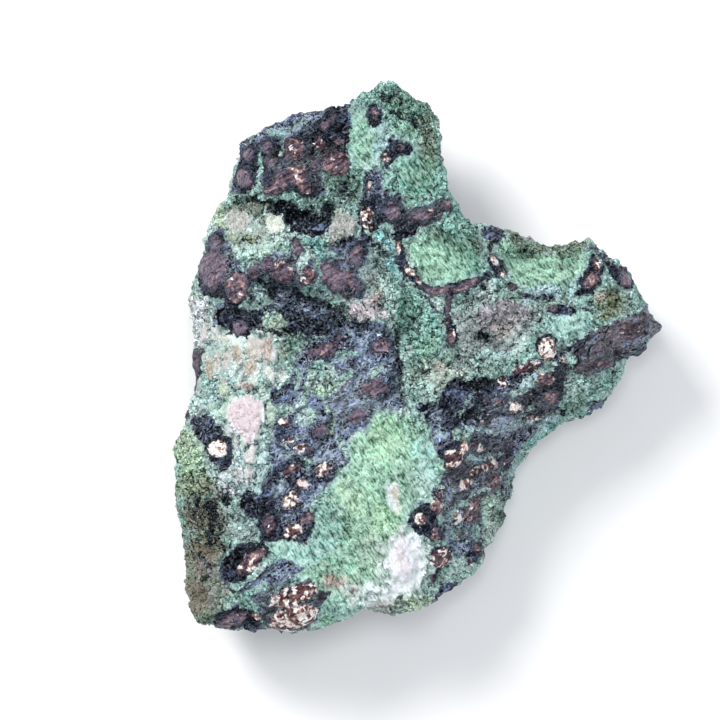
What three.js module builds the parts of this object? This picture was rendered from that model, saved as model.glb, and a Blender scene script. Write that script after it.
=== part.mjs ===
// A hand specimen of nickeline ore: one broken slab of rock, grown together as a single piece.
// It lies on its back joint face, with the rich face up. Units are millimetres and +Z is up.
// The origin is the centre of the slab's footprint, on the plane that it rests on.

import * as THREE from 'three';
import { mergeVertices } from 'three/addons/utils/BufferGeometryUtils.js';
import { ImprovedNoise } from 'three/addons/math/ImprovedNoise.js';

// ---------- driving dimensions ----------

const FACE_HEIGHT = 25; // mean height of the rich face above the rest plane
const FACETS = { across: 36, up: 43, deep: 9 }; // rows of facets over the slab
const WIDEST_ROW = 6; // the row of the sides, counted from the back, that is the widest
const RELAXING = 260; // passes that even out the facets of each face
const ROLL_FADE = 0.52; // how much of the rim's drop each next row of the face keeps
const REST_PATCH = { at: [-7, -4], size: [15, 21], turn: 6 }; // flat part of the back
const BACK_LIFT = 3.6; // how far the back has risen from the rest plane at its edge

// The slab's widest line in plan, anticlockwise in four runs that meet at its corners.
const OUTLINE = {
  south: [
    [-31.6, -38.0], [-29.2, -38.2], [-26.8, -38.6], [-24.4, -38.4], [-22.0, -38.2],
    [-19.8, -38.4], [-17.9, -38.4], [-15.6, -38.7], [-13.2, -38.4], [-11.0, -37.7],
    [-9.6, -37.2], [-7.6, -36.0], [-5.6, -36.3], [-3.4, -36.7], [-2.2, -36.1], [0.8, -35.9],
    [2.2, -35.6], [4.0, -34.2], [6.2, -32.6], [8.1, -31.3],
  ],
  east: [
    [8.1, -31.3], [9.6, -29.5], [10.1, -27.0], [11.2, -26.0], [11.5, -24.3], [12.5, -23.6],
    [11.9, -21.8], [13.4, -19.5], [13.3, -17.2], [14.2, -15.0], [15.9, -13.2], [17.8, -11.8],
    [19.3, -10.5], [19.8, -9.0], [22.1, -8.9], [24.2, -8.1], [26.0, -7.1], [27.4, -6.1],
    [27.6, -4.7], [28.3, -3.6], [29.0, -3.3], [29.2, -1.8], [28.9, -0.6], [30.3, -0.2],
    [31.3, 0.3], [32.3, 1.1], [32.8, 2.2], [34.3, 3.9], [33.8, 4.6], [33.5, 5.3], [32.9, 6.1],
    [32.5, 7.4], [31.5, 8.3], [30.9, 9.0], [30.0, 9.6], [30.1, 10.6], [29.7, 11.8],
    [28.8, 12.8], [27.7, 13.4], [26.9, 13.9], [26.0, 15.2], [25.0, 15.9], [24.3, 16.4],
  ],
  north: [
    [24.3, 16.4], [23.0, 16.1], [21.6, 16.0], [20.3, 15.2], [19.0, 14.5], [17.5, 15.0],
    [16.5, 15.7], [15.0, 16.7], [13.2, 17.5], [11.4, 18.1], [9.8, 17.6], [8.5, 17.9],
    [7.2, 17.8], [6.1, 18.7], [5.4, 20.3], [4.6, 21.8], [4.0, 22.6], [3.5, 23.9], [2.6, 25.0],
    [2.9, 27.1], [2.5, 28.7], [2.6, 30.2], [3.2, 31.7], [2.8, 33.0], [1.7, 34.6], [0.7, 36.2],
    [-0.9, 36.2], [-1.7, 37.2], [-3.0, 38.2], [-4.4, 38.7], [-5.5, 38.4], [-6.2, 37.5],
    [-8.4, 36.4], [-10.6, 35.5], [-13.0, 34.7], [-15.0, 34.1], [-16.8, 33.4], [-18.6, 32.7],
    [-20.5, 31.9], [-22.2, 31.8], [-23.6, 31.1],
  ],
  west: [
    [-23.6, 31.1], [-24.8, 29.9], [-25.1, 28.1], [-25.7, 26.9], [-26.3, 26.3], [-26.3, 24.9],
    [-27.0, 23.2], [-27.5, 21.8], [-28.6, 20.8], [-29.1, 19.3], [-30.1, 17.8], [-30.4, 16.7],
    [-30.3, 15.0], [-30.6, 13.2], [-31.0, 11.7], [-31.8, 10.9], [-32.4, 8.7], [-31.7, 6.8],
    [-31.8, 5.3], [-31.1, 3.2], [-31.5, 0.4], [-31.7, -2.2], [-31.3, -4.1], [-32.1, -5.9],
    [-32.6, -7.5], [-33.2, -9.5], [-34.4, -12.1], [-34.5, -14.8], [-34.3, -17.2],
    [-34.0, -19.4], [-34.2, -21.2], [-33.7, -23.6], [-33.3, -26.6], [-32.9, -30.0],
    [-32.5, -33.4], [-32.1, -36.2], [-31.6, -38.0],
  ],
};

// The slab's sides, by where they are on the outline: the height of the widest line, how far in
// from it the face's edge lies and how low that edge is, and how far in the back's edge lies.
const SIDES = [
  { near: [-31.6, -38.0], widest: 14, shoulder: 2.4, roll: 2.6, foot: 6.0 },
  { near: [-15.0, -38.6], widest: 15, shoulder: 1.6, roll: 1.4, foot: 5.0 },
  { near: [-2.0, -36.1], widest: 14, shoulder: 2.2, roll: 2.2, foot: 6.0 },
  { near: [8.1, -31.3], widest: 10, shoulder: 3.2, roll: 4.2, foot: 3.4 },
  { near: [12.2, -22.0], widest: 7, shoulder: 4.6, roll: 7.5, foot: 2.6 },
  { near: [15.9, -13.2], widest: 7, shoulder: 4.4, roll: 7.0, foot: 2.6 },
  { near: [23.0, -8.6], widest: 10, shoulder: 3.2, roll: 4.5, foot: 3.6 },
  { near: [29.0, -2.6], widest: 11, shoulder: 2.6, roll: 3.4, foot: 4.0 },
  { near: [34.3, 3.9], widest: 14, shoulder: 2.2, roll: 2.6, foot: 5.0 },
  { near: [29.9, 11.0], widest: 15, shoulder: 1.4, roll: 1.8, foot: 4.6 },
  { near: [21.6, 16.0], widest: 16, shoulder: 1.0, roll: 1.0, foot: 4.4 },
  { near: [9.8, 17.6], widest: 17, shoulder: 1.0, roll: 1.2, foot: 4.6 },
  { near: [3.5, 23.9], widest: 17, shoulder: 1.4, roll: 2.0, foot: 4.0 },
  { near: [2.8, 33.0], widest: 16, shoulder: 1.6, roll: 2.4, foot: 4.8 },
  { near: [-4.4, 38.7], widest: 18, shoulder: 1.4, roll: 1.6, foot: 5.6 },
  { near: [-15.0, 34.1], widest: 19, shoulder: 1.0, roll: 1.0, foot: 5.4 },
  { near: [-24.8, 29.9], widest: 17, shoulder: 1.4, roll: 2.0, foot: 5.2 },
  { near: [-29.1, 19.3], widest: 15, shoulder: 1.8, roll: 2.8, foot: 4.4 },
  { near: [-31.8, 5.3], widest: 14, shoulder: 2.0, roll: 3.2, foot: 4.6 },
  { near: [-34.0, -12.0], widest: 12, shoulder: 2.8, roll: 4.2, foot: 5.2 },
  { near: [-34.0, -24.0], widest: 13, shoulder: 2.4, roll: 3.6, foot: 5.6 },
];

// Flat breaks across the sides and the back: each is a point on the break and the way it faces.
const BREAKS = [
  { point: [-21, 30, 4], faces: [-0.3, 0.7, -0.65] },
  { point: [-31, 2, 5], faces: [-0.8, 0.15, -0.6] },
  { point: [-31, -24, 4], faces: [-0.75, -0.2, -0.62] },
  { point: [-22, -34, 3], faces: [0.05, -0.7, -0.7] },
  { point: [-4, -34, 4], faces: [0.2, -0.75, -0.6] },
  { point: [28, 3, 6], faces: [0.5, -0.05, -0.86] },
  { point: [17, 14, 4], faces: [0.25, 0.6, -0.76] },
  { point: [0, 32, 4], faces: [0.45, 0.5, -0.74] },
  { point: [-29, 17, 6], faces: [-0.75, 0.4, -0.52] },
];

// Ledges in the rich face: the ground on the right of each line steps down by drop, or that on
// its left if drop is negative, and comes back up over reach.
const LEDGES = [
  {
    line: [[-27.5, 21.9], [-24, 22.2], [-21, 21.5], [-17.5, 21], [-13, 20.6], [-11, 21.6]],
    drop: 1.9,
    reach: 7,
  },
  {
    line: [[-25, 7.2], [-22.5, 10.9], [-18.5, 10.1], [-14.5, 9], [-10.5, 7], [-8, 5.1], [-4, 4.8]],
    drop: 1.9,
    reach: 6,
  },
  { line: [[-3.6, 10], [-3.2, 4], [-2.6, 0], [-2.2, -6.2]], drop: -1.7, reach: 9 },
  { line: [[3.4, -3.4], [5, -2.9], [9.6, -3.1], [14.5, 0.2], [16.4, 2.6]], drop: -1.2, reach: 5 },
  {
    line: [[3.2, -34.6], [4.4, -28], [4.2, -24.5], [2.4, -18.2], [5.2, -15.8], [10, -11.5], [18.5, -9.2]],
    drop: 1.4,
    reach: 8,
  },
];

// Hollows in the rich face: ovals with a centre, half sizes, a turn in degrees and a depth.
const HOLLOWS = [
  { at: [17.8, 14.0], size: [6.8, 3.6], turn: 8, depth: 3.4 }, // scoop behind the arm
  { at: [3.8, 13.6], size: [5.2, 4.4], turn: -25, depth: 2.1 }, // round scoop
  { at: [-16.4, 19.4], size: [4.6, 2.2], turn: -16, depth: 2.3 }, // dark pit under the top block
  { at: [-20.0, 9.8], size: [2.8, 1.9], turn: -25, depth: 1.8 },
  { at: [-14.0, 6.0], size: [6.5, 2.4], turn: -20, depth: 1.3 },
  { at: [-1.8, 34.2], size: [3.6, 1.8], turn: -20, depth: 1.4 },
  { at: [-24.0, -28.8], size: [4.0, 2.3], turn: 32, depth: 1.5 },
  { at: [-29.0, -23.6], size: [2.0, 4.2], turn: 15, depth: 1.5 },
  { at: [6.6, -4.6], size: [3.2, 2.0], turn: 0, depth: 1.3 },
  { at: [10.5, 5.2], size: [7.0, 5.4], turn: -20, depth: 1.2 }, // granular basin
  { at: [-10.8, -28.5], size: [6.4, 9.5], turn: 10, depth: 1.1 }, // basin of green bloom
];

// Lumps of ore and matrix that stand proud of the rich face.
const LUMPS = [
  { at: [-28.2, 12.6], size: [2.9, 4.6], turn: -8, rise: 1.0 },
  { at: [-25.2, 9.6], size: [1.9, 2.5], turn: -30, rise: 0.8 },
  { at: [-19.0, 12.4], size: [2.5, 2.0], turn: -20, rise: 0.9 },
  { at: [-15.4, 11.4], size: [1.8, 2.2], turn: 10, rise: 0.9 },
  { at: [-10.6, 10.9], size: [3.7, 2.4], turn: -32, rise: 1.1 },
  { at: [-9.0, 14.2], size: [2.5, 1.8], turn: -30, rise: 0.9 },
  { at: [-24.8, 4.0], size: [1.8, 1.8], turn: 0, rise: 0.7 },
  { at: [-17.6, 25.4], size: [2.6, 1.8], turn: 30, rise: 0.9 },
  { at: [-11.4, 27.0], size: [2.3, 2.1], turn: -40, rise: 1.1 },
  { at: [-16.8, 29.4], size: [2.0, 1.6], turn: 20, rise: 0.8 },
  { at: [-12.8, 32.2], size: [2.4, 1.8], turn: 0, rise: 0.9 },
  { at: [-23.8, 27.2], size: [1.8, 3.4], turn: -12, rise: 0.7 },
  { at: [-24.8, 18.4], size: [2.6, 1.9], turn: -40, rise: 1.0 },
  { at: [-19.6, 18.4], size: [1.8, 2.1], turn: 15, rise: 1.1 },
  { at: [-23.0, 14.9], size: [3.4, 1.8], turn: 4, rise: 0.7 },
  { at: [-10.6, 18.7], size: [2.2, 2.0], turn: 20, rise: 0.9 },
  { at: [-7.0, 7.0], size: [3.2, 2.1], turn: 10, rise: 0.9 },
  { at: [-23.8, -8.2], size: [2.4, 3.6], turn: 8, rise: 0.9 },
  { at: [-28.6, -12.4], size: [2.6, 3.4], turn: -20, rise: 1.2 },
  { at: [-23.4, -20.0], size: [2.4, 1.7], turn: -10, rise: 0.9 },
  { at: [-12.6, -16.0], size: [2.8, 1.8], turn: 25, rise: 0.7 },
  { at: [-15.0, -32.8], size: [2.3, 1.8], turn: 30, rise: 1.0 },
  { at: [-17.6, -36.2], size: [3.4, 2.0], turn: 20, rise: 1.0 },
  { at: [-2.4, -29.0], size: [2.6, 6.5], turn: 6, rise: 1.0 },
  { at: [1.3, -22.8], size: [2.3, 2.1], turn: 40, rise: 1.2 },
  { at: [4.4, -13.6], size: [2.6, 2.1], turn: 35, rise: 1.1 },
  { at: [18.2, 0.6], size: [2.0, 2.2], turn: 0, rise: 1.0 },
  { at: [17.4, -4.0], size: [2.8, 1.8], turn: 30, rise: 0.9 },
  { at: [24.4, 10.6], size: [3.8, 1.9], turn: 55, rise: 1.2 },
  { at: [28.6, 11.0], size: [1.8, 2.0], turn: 20, rise: 0.9 },
  { at: [28.6, 3.0], size: [6.4, 2.0], turn: 33, rise: 1.5 },
  { at: [24.4, -1.2], size: [3.6, 1.6], turn: 28, rise: 1.0 },
  { at: [1.0, 20.2], size: [4.6, 1.7], turn: 14, rise: 0.9 },
  { at: [4.6, 9.2], size: [4.4, 1.5], turn: 8, rise: 0.8 },
  { at: [-1.8, 13.4], size: [1.5, 3.4], turn: 24, rise: 0.7 },
  { at: [-5.0, -2.0], size: [5.0, 2.6], turn: 30, rise: 0.7 },
];

// Roughness: each octave's wavelength and height, the finest last.
const ROUGHNESS = [
  { wave: 13, height: 1.2 },
  { wave: 6.1, height: 0.85 },
  { wave: 3.3, height: 0.55 },
];
const SIDE_ROUGHNESS = 2.1; // the broken sides and back are this much rougher than the face
const OUTLINE_ROUGHNESS = 0.15; // and the widest line keeps close to its outline
const GRAIN_TURN = 34; // the ore's streaks run up to the right at this angle, in degrees
const STREAK = { along: 11, across: 2.3, height: 0.55 };

// ---------- small helpers ----------

const clamp = THREE.MathUtils.clamp;
const lerp = THREE.MathUtils.lerp;
const radians = THREE.MathUtils.degToRad;
const ease = (from, to, value) => THREE.MathUtils.smoothstep(value, from, to);
const perlin = new ImprovedNoise();

/** Plan position seen from an oval's middle, along and across it, each as a share of its half size. */
function withinOval(x, y, oval) {
  const turn = radians(oval.turn);
  const dx = x - oval.at[0];
  const dy = y - oval.at[1];
  const along = dx * Math.cos(turn) + dy * Math.sin(turn);
  const across = dy * Math.cos(turn) - dx * Math.sin(turn);
  return Math.hypot(along / oval.size[0], across / oval.size[1]);
}

/** Distance to a polyline in plan: positive on its right, as one walks along it. */
function signedDistance(x, y, line) {
  let nearest = Infinity;
  let side = 1;
  for (let i = 0; i + 1 < line.length; i++) {
    const [ax, ay] = line[i];
    const [bx, by] = line[i + 1];
    const length2 = (bx - ax) ** 2 + (by - ay) ** 2;
    const share = clamp(((x - ax) * (bx - ax) + (y - ay) * (by - ay)) / length2, 0, 1);
    const px = x - lerp(ax, bx, share);
    const py = y - lerp(ay, by, share);
    const distance = Math.hypot(px, py);
    if (distance < nearest) {
      nearest = distance;
      side = Math.sign((by - ay) * px - (bx - ax) * py) || 1;
    }
  }
  return nearest * side;
}

/** Octaves of noise at a point of space. */
function roughnessAt(p) {
  let sum = 0;
  for (const octave of ROUGHNESS) {
    sum += octave.height * perlin.noise(p.x / octave.wave + 7.3, p.y / octave.wave, p.z / octave.wave);
  }
  return sum;
}

/** Long low ridges along the ore's streaks. */
function streakAt(x, y) {
  const turn = radians(GRAIN_TURN);
  const along = x * Math.cos(turn) + y * Math.sin(turn);
  const across = y * Math.cos(turn) - x * Math.sin(turn);
  return STREAK.height * perlin.noise(along / STREAK.along, across / STREAK.across, 3.7);
}

// ---------- the outline and the sides ----------

/** A run of outline as evenly spaced points, its corners kept. */
function spacedPoints(run, count) {
  const path = new THREE.CurvePath();
  for (let i = 0; i + 1 < run.length; i++) {
    path.add(new THREE.LineCurve(new THREE.Vector2(...run[i]), new THREE.Vector2(...run[i + 1])));
  }
  return path.getSpacedPoints(count);
}

/** The outline as one ring of points, in step with the rows of facets. */
function widestRing() {
  const runs = [
    spacedPoints(OUTLINE.south, FACETS.across),
    spacedPoints(OUTLINE.east, FACETS.up),
    spacedPoints(OUTLINE.north, FACETS.across),
    spacedPoints(OUTLINE.west, FACETS.up),
  ];
  return runs.flatMap((points) => points.slice(0, -1));
}

/** Where a point on the edge of the facet rows comes in the ring. */
function ringIndex(i, j) {
  if (j === 0) {
    return i;
  }
  if (i === FACETS.across) {
    return i + j;
  }
  if (j === FACETS.up) {
    return 2 * FACETS.across + j - i;
  }
  return (2 * FACETS.across + 2 * FACETS.up - j) % RING.length;
}

/** The sides' measures at a point of the outline, eased between the two nearest stated ones. */
function sideAt(point) {
  const weights = SIDES.map(({ near: [x, y] }) => (Math.hypot(point.x - x, point.y - y) + 1.5) ** -3);
  const total = weights.reduce((sum, weight) => sum + weight, 0);
  const mix = (key) => SIDES.reduce((sum, side, n) => sum + side[key] * weights[n], 0) / total;
  return { widest: mix('widest'), shoulder: mix('shoulder'), roll: mix('roll'), foot: mix('foot') };
}

/** The ring without its fine detail: each point becomes the mean of its neighbours. */
function smoothRing(reach) {
  return RING.map((point, n) => {
    const sum = new THREE.Vector2();
    for (let step = -reach; step <= reach; step++) {
      sum.add(RING[(n + step + RING.length) % RING.length]);
    }
    return sum.divideScalar(2 * reach + 1);
  });
}

/** The smooth ring moved in by one of the sides' measures. */
function ringInset(key) {
  return SMOOTH_RING.map((point, n) => {
    const inset = SIDES_ON_RING[n][key];
    const reach = Math.round(inset * 0.6) + 2;
    const before = SMOOTH_RING[(n - reach + RING.length) % RING.length];
    const after = SMOOTH_RING[(n + reach) % RING.length];
    const inward = new THREE.Vector2(before.y - after.y, after.x - before.x).normalize();
    return point.clone().addScaledVector(inward, inset);
  });
}

const RING = widestRing();
const SMOOTH_RING = smoothRing(2);
const SIDES_ON_RING = RING.map(sideAt);
const FACE_RING = ringInset('shoulder');
const BACK_RING = ringInset('foot');

/** Plan points for the rows of one face, spread evenly inside its ring. */
function relaxedRows(ring) {
  const last = { i: FACETS.across, j: FACETS.up };
  const rows = [];
  for (let i = 0; i <= last.i; i++) {
    rows.push([]);
    for (let j = 0; j <= last.j; j++) {
      const u = i / last.i;
      const v = j / last.j;
      const west = ring[ringIndex(0, j)];
      const east = ring[ringIndex(last.i, j)];
      const south = ring[ringIndex(i, 0)];
      const north = ring[ringIndex(i, last.j)];
      const point = west.clone().lerp(east, u).add(south.clone().lerp(north, v));
      const low = ring[0].clone().lerp(ring[ringIndex(last.i, 0)], u);
      const high = ring[ringIndex(0, last.j)].clone().lerp(ring[ringIndex(last.i, last.j)], u);
      rows[i].push(point.sub(low.lerp(high, v)));
    }
  }
  // Each inner point moves to where the rows stay even and do not fold at the inner corners.
  for (let pass = 0; pass < RELAXING; pass++) {
    for (let i = 1; i < last.i; i++) {
      for (let j = 1; j < last.j; j++) {
        const [sw, w, nw] = rows[i - 1].slice(j - 1, j + 2);
        const [s, , n] = rows[i].slice(j - 1, j + 2);
        const [se, e, ne] = rows[i + 1].slice(j - 1, j + 2);
        const along = (n.x - s.x) ** 2 + (n.y - s.y) ** 2 + 0.02;
        const across = (e.x - w.x) ** 2 + (e.y - w.y) ** 2 + 0.02;
        const skew = ((e.x - w.x) * (n.x - s.x) + (e.y - w.y) * (n.y - s.y)) / 2;
        const share = 2 * (along + across);
        rows[i][j].set(
          (along * (w.x + e.x) + across * (s.x + n.x) - skew * (ne.x + sw.x - nw.x - se.x)) / share,
          (along * (w.y + e.y) + across * (s.y + n.y) - skew * (ne.y + sw.y - nw.y - se.y)) / share,
        );
      }
    }
  }
  return rows;
}

// ---------- the two faces ----------

/** Height of the rich face over a plan point. */
function faceHeight(x, y) {
  let height = FACE_HEIGHT - 0.0011 * (x + 4) ** 2 - 0.0007 * (y + 2) ** 2;
  for (const ledge of LEDGES) {
    const lower = signedDistance(x, y, ledge.line) * Math.sign(ledge.drop); // how far past the step
    height -= Math.abs(ledge.drop) * ease(-1, 1, lower) * (1 - ease(1, ledge.reach, lower));
  }
  for (const hollow of HOLLOWS) {
    height -= hollow.depth * (1 - ease(0.35, 1.15, withinOval(x, y, hollow)));
  }
  for (const lump of LUMPS) {
    height += lump.rise * Math.sqrt(Math.max(0, 1 - withinOval(x, y, lump) ** 2));
  }
  return height + streakAt(x, y);
}

/** Height of the back: flat on the rest patch, and rising away from it. */
function backHeight(x, y) {
  return BACK_LIFT * ease(0, 1.1, withinOval(x, y, REST_PATCH) - 1);
}

const FACE_ROWS = relaxedRows(FACE_RING);
const BACK_ROWS = relaxedRows(BACK_RING);

/** How many rows of the sides lie between the widest one and the face that row k is nearer to. */
function rowsBeyondWidest(k) {
  return k > WIDEST_ROW ? FACETS.deep - WIDEST_ROW : WIDEST_ROW;
}

/** Where a corner of the facet rows lands on the slab. */
function onSlab(i, j, k) {
  if (k === 0) {
    const { x, y } = BACK_ROWS[i][j];
    return new THREE.Vector3(x, y, backHeight(x, y));
  }
  if (k === FACETS.deep) {
    const { x, y } = FACE_ROWS[i][j];
    const fromEdge = Math.min(i, j, FACETS.across - i, FACETS.up - j);
    const { roll } = sideAt(FACE_ROWS[i][j]);
    return new THREE.Vector3(x, y, faceHeight(x, y) - roll * ROLL_FADE ** fromEdge);
  }
  const n = ringIndex(i, j);
  const above = k > WIDEST_ROW;
  const end = above ? FACE_RING[n] : BACK_RING[n];
  const share = Math.abs(k - WIDEST_ROW) / rowsBeyondWidest(k); // 1 at a face's edge
  const detail = RING[n].clone().sub(SMOOTH_RING[n]).multiplyScalar((1 - share) ** 1.5);
  const plan = SMOOTH_RING[n].clone().lerp(end, share ** 2).add(detail);
  const stop = above ? faceHeight(end.x, end.y) - SIDES_ON_RING[n].roll : backHeight(end.x, end.y);
  return new THREE.Vector3(plan.x, plan.y, lerp(SIDES_ON_RING[n].widest, stop, share ** 0.92));
}

/** Moves a point that is outside a flat break back onto it. */
function trimToBreaks(p) {
  for (const { point, faces } of BREAKS) {
    const normal = new THREE.Vector3(...faces).normalize();
    const outside = normal.dot(p) - normal.dot(new THREE.Vector3(...point));
    if (outside > 0) {
      p.addScaledVector(normal, -outside);
    }
  }
  return p;
}

// ---------- the specimen ----------

/** The slab as one closed skin: rows of facets laid over it, trimmed and roughened. */
function specimenGeometry() {
  const box = new THREE.BoxGeometry(1, 1, 1, FACETS.across, FACETS.up, FACETS.deep);
  box.deleteAttribute('normal');
  box.deleteAttribute('uv');
  const skin = mergeVertices(box, 1e-4);
  const positions = skin.getAttribute('position');
  const p = new THREE.Vector3();
  const row = (value, count) => Math.round((value + 0.5) * count);
  const steep = [];
  for (let n = 0; n < positions.count; n++) {
    p.fromBufferAttribute(positions, n);
    const k = row(p.z, FACETS.deep);
    const placed = trimToBreaks(onSlab(row(p.x, FACETS.across), row(p.y, FACETS.up), k));
    steep.push(1 - Math.abs(k - WIDEST_ROW) / rowsBeyondWidest(k));
    positions.setXYZ(n, placed.x, placed.y, placed.z);
  }
  skin.computeVertexNormals();
  const normals = skin.getAttribute('normal');
  const normal = new THREE.Vector3();
  for (let n = 0; n < positions.count; n++) {
    p.fromBufferAttribute(positions, n);
    normal.fromBufferAttribute(normals, n);
    const offRest = ease(0.05, 2.5, p.z);
    const rough = lerp(SIDE_ROUGHNESS, 1, ease(0.3, 0.8, normal.z));
    const keep = lerp(1, OUTLINE_ROUGHNESS, steep[n]); // the widest line stays on its outline
    p.addScaledVector(normal, roughnessAt(p) * rough * keep * offRest);
    positions.setXYZ(n, p.x, p.y, Math.max(p.z, 0));
  }
  skin.deleteAttribute('normal');

  // Centre the footprint on the origin.
  skin.computeBoundingBox();
  const middle = skin.boundingBox.getCenter(new THREE.Vector3());
  skin.translate(-middle.x, -middle.y, -skin.boundingBox.min.z);
  return skin;
}

const ore = new THREE.MeshStandardMaterial({ color: 0x6f8577, roughness: 0.75, metalness: 0.15 });
const specimen = new THREE.Mesh(specimenGeometry(), ore);
specimen.name = 'nickeline_specimen';

const group = new THREE.Group();
group.add(specimen);

export default group;
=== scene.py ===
import math
from types import SimpleNamespace

import bmesh
import bpy
import numpy as np
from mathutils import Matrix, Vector, noise


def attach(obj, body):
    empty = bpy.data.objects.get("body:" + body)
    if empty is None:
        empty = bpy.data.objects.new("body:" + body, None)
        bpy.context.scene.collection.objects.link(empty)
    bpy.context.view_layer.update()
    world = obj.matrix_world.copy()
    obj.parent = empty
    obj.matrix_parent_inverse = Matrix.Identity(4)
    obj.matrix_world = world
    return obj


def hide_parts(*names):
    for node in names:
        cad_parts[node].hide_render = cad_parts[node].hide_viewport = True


# A hand specimen of nickeline ore, lying on its back. All places on it are in millimetres,
# seen from above: x to the right, y up the slab, both from the middle of its footprint.

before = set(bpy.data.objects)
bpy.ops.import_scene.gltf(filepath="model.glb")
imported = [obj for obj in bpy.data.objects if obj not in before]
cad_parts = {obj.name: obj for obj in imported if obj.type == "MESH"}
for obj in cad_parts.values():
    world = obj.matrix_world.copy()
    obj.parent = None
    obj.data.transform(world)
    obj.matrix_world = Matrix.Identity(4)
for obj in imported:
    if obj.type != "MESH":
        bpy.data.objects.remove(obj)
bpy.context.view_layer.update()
millimetre = 0.001
print("frame loaded")

# The camera looks straight down on the rich face. Lengths are in millimetres.
cameraSetup = {
    "lookAt": (-8.05, -0.42),  # the point of the slab in the middle of the picture
    "faceHeight": 23.0,
    "distance": 900.0,
    "pictureWidth": 100.8,  # how much of the slab's plane the picture takes in
    "sensorWidth": 36.0,
    "nearest": 10,
    "furthest": 20000,
}


def makeCamera():
    data = bpy.data.cameras.new("camera")
    data.sensor_width = cameraSetup["sensorWidth"]
    data.lens = cameraSetup["sensorWidth"] * cameraSetup["distance"] / cameraSetup["pictureWidth"]
    data.clip_start = cameraSetup["nearest"] * millimetre
    data.clip_end = cameraSetup["furthest"] * millimetre
    camera = bpy.data.objects.new("camera", data)
    x, y = cameraSetup["lookAt"]
    height = cameraSetup["faceHeight"] + cameraSetup["distance"]
    camera.location = Vector((x, y, height)) * millimetre
    bpy.context.scene.collection.objects.link(camera)
    bpy.context.scene.camera = camera


# Soft studio light: square lamps, with places and sizes in metres and power in watts.
lamps = {
    "key": {"place": (-0.38, 0.42, 0.62), "size": 0.30, "power": 6.3, "colour": (1, 0.98, 0.95)},
    "fill": {"place": (0.60, 0.10, 0.50), "size": 0.45, "power": 1.7, "colour": (0.95, 0.98, 1)},
    "front": {"place": (0.05, -0.62, 0.42), "size": 0.35, "power": 1.4, "colour": (1, 1, 1)},
    "top": {"place": (-0.02, 0.10, 0.80), "size": 0.16, "power": 1.2, "colour": (1, 1, 1)},
}
lampTarget = Vector((0, 0, 0.012))  # in metres, the middle of the slab
worldLight = {"colour": (0.93, 0.96, 1.0), "strength": 0.36}


def makeLights():
    for name, lamp in lamps.items():
        data = bpy.data.lights.new(name, "AREA")
        data.shape = "SQUARE"
        data.size = lamp["size"]
        data.energy = lamp["power"]
        data.color = lamp["colour"]
        light = bpy.data.objects.new(name, data)
        light.location = lamp["place"]
        aim = lampTarget - Vector(lamp["place"])
        light.rotation_euler = aim.to_track_quat("-Z", "Y").to_euler()
        bpy.context.scene.collection.objects.link(light)
    world = bpy.data.worlds.new("studio")
    world.use_nodes = True
    background = world.node_tree.nodes["Background"]
    background.inputs["Color"].default_value = (*worldLight["colour"], 1)
    background.inputs["Strength"].default_value = worldLight["strength"]
    bpy.context.scene.world = world
    bpy.context.scene.view_settings.view_transform = "Standard"


makeCamera()
makeLights()
print("camera and lights made")


# sRGB values from 0 to 255 as the linear colour that shaders use
def paint(red, green, blue):
    def linear(value):
        value = value / 255
        return value / 12.92 if value <= 0.04045 else ((value + 0.055) / 1.055) ** 2.4

    return (linear(red), linear(green), linear(blue))


# Wire wraps one socket of a shader, so that its maths reads as plain arithmetic.
class Wire:
    def __init__(self, finish, socket):
        self.finish = finish
        self.socket = socket

    def maths(self, operation, *values):
        return self.finish.node("ShaderNodeMath", {"operation": operation}, dict(enumerate(values)))

    def __add__(self, other):
        return self.maths("ADD", self, other)

    def __radd__(self, other):
        return self.maths("ADD", other, self)

    def __sub__(self, other):
        return self.maths("SUBTRACT", self, other)

    def __rsub__(self, other):
        return self.maths("SUBTRACT", other, self)

    def __mul__(self, other):
        return self.maths("MULTIPLY", self, other)

    def __rmul__(self, other):
        return self.maths("MULTIPLY", other, self)

    def __abs__(self):
        return self.maths("ABSOLUTE", self)

    # 0 below low, 1 above high, and eased between; low may be the larger, for a falling step
    def step(self, low, high):
        ends = {0: self, 1: low, 2: high, 3: 0.0, 4: 1.0}
        return self.finish.node("ShaderNodeMapRange", {"interpolation_type": "SMOOTHSTEP"}, ends)


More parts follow.
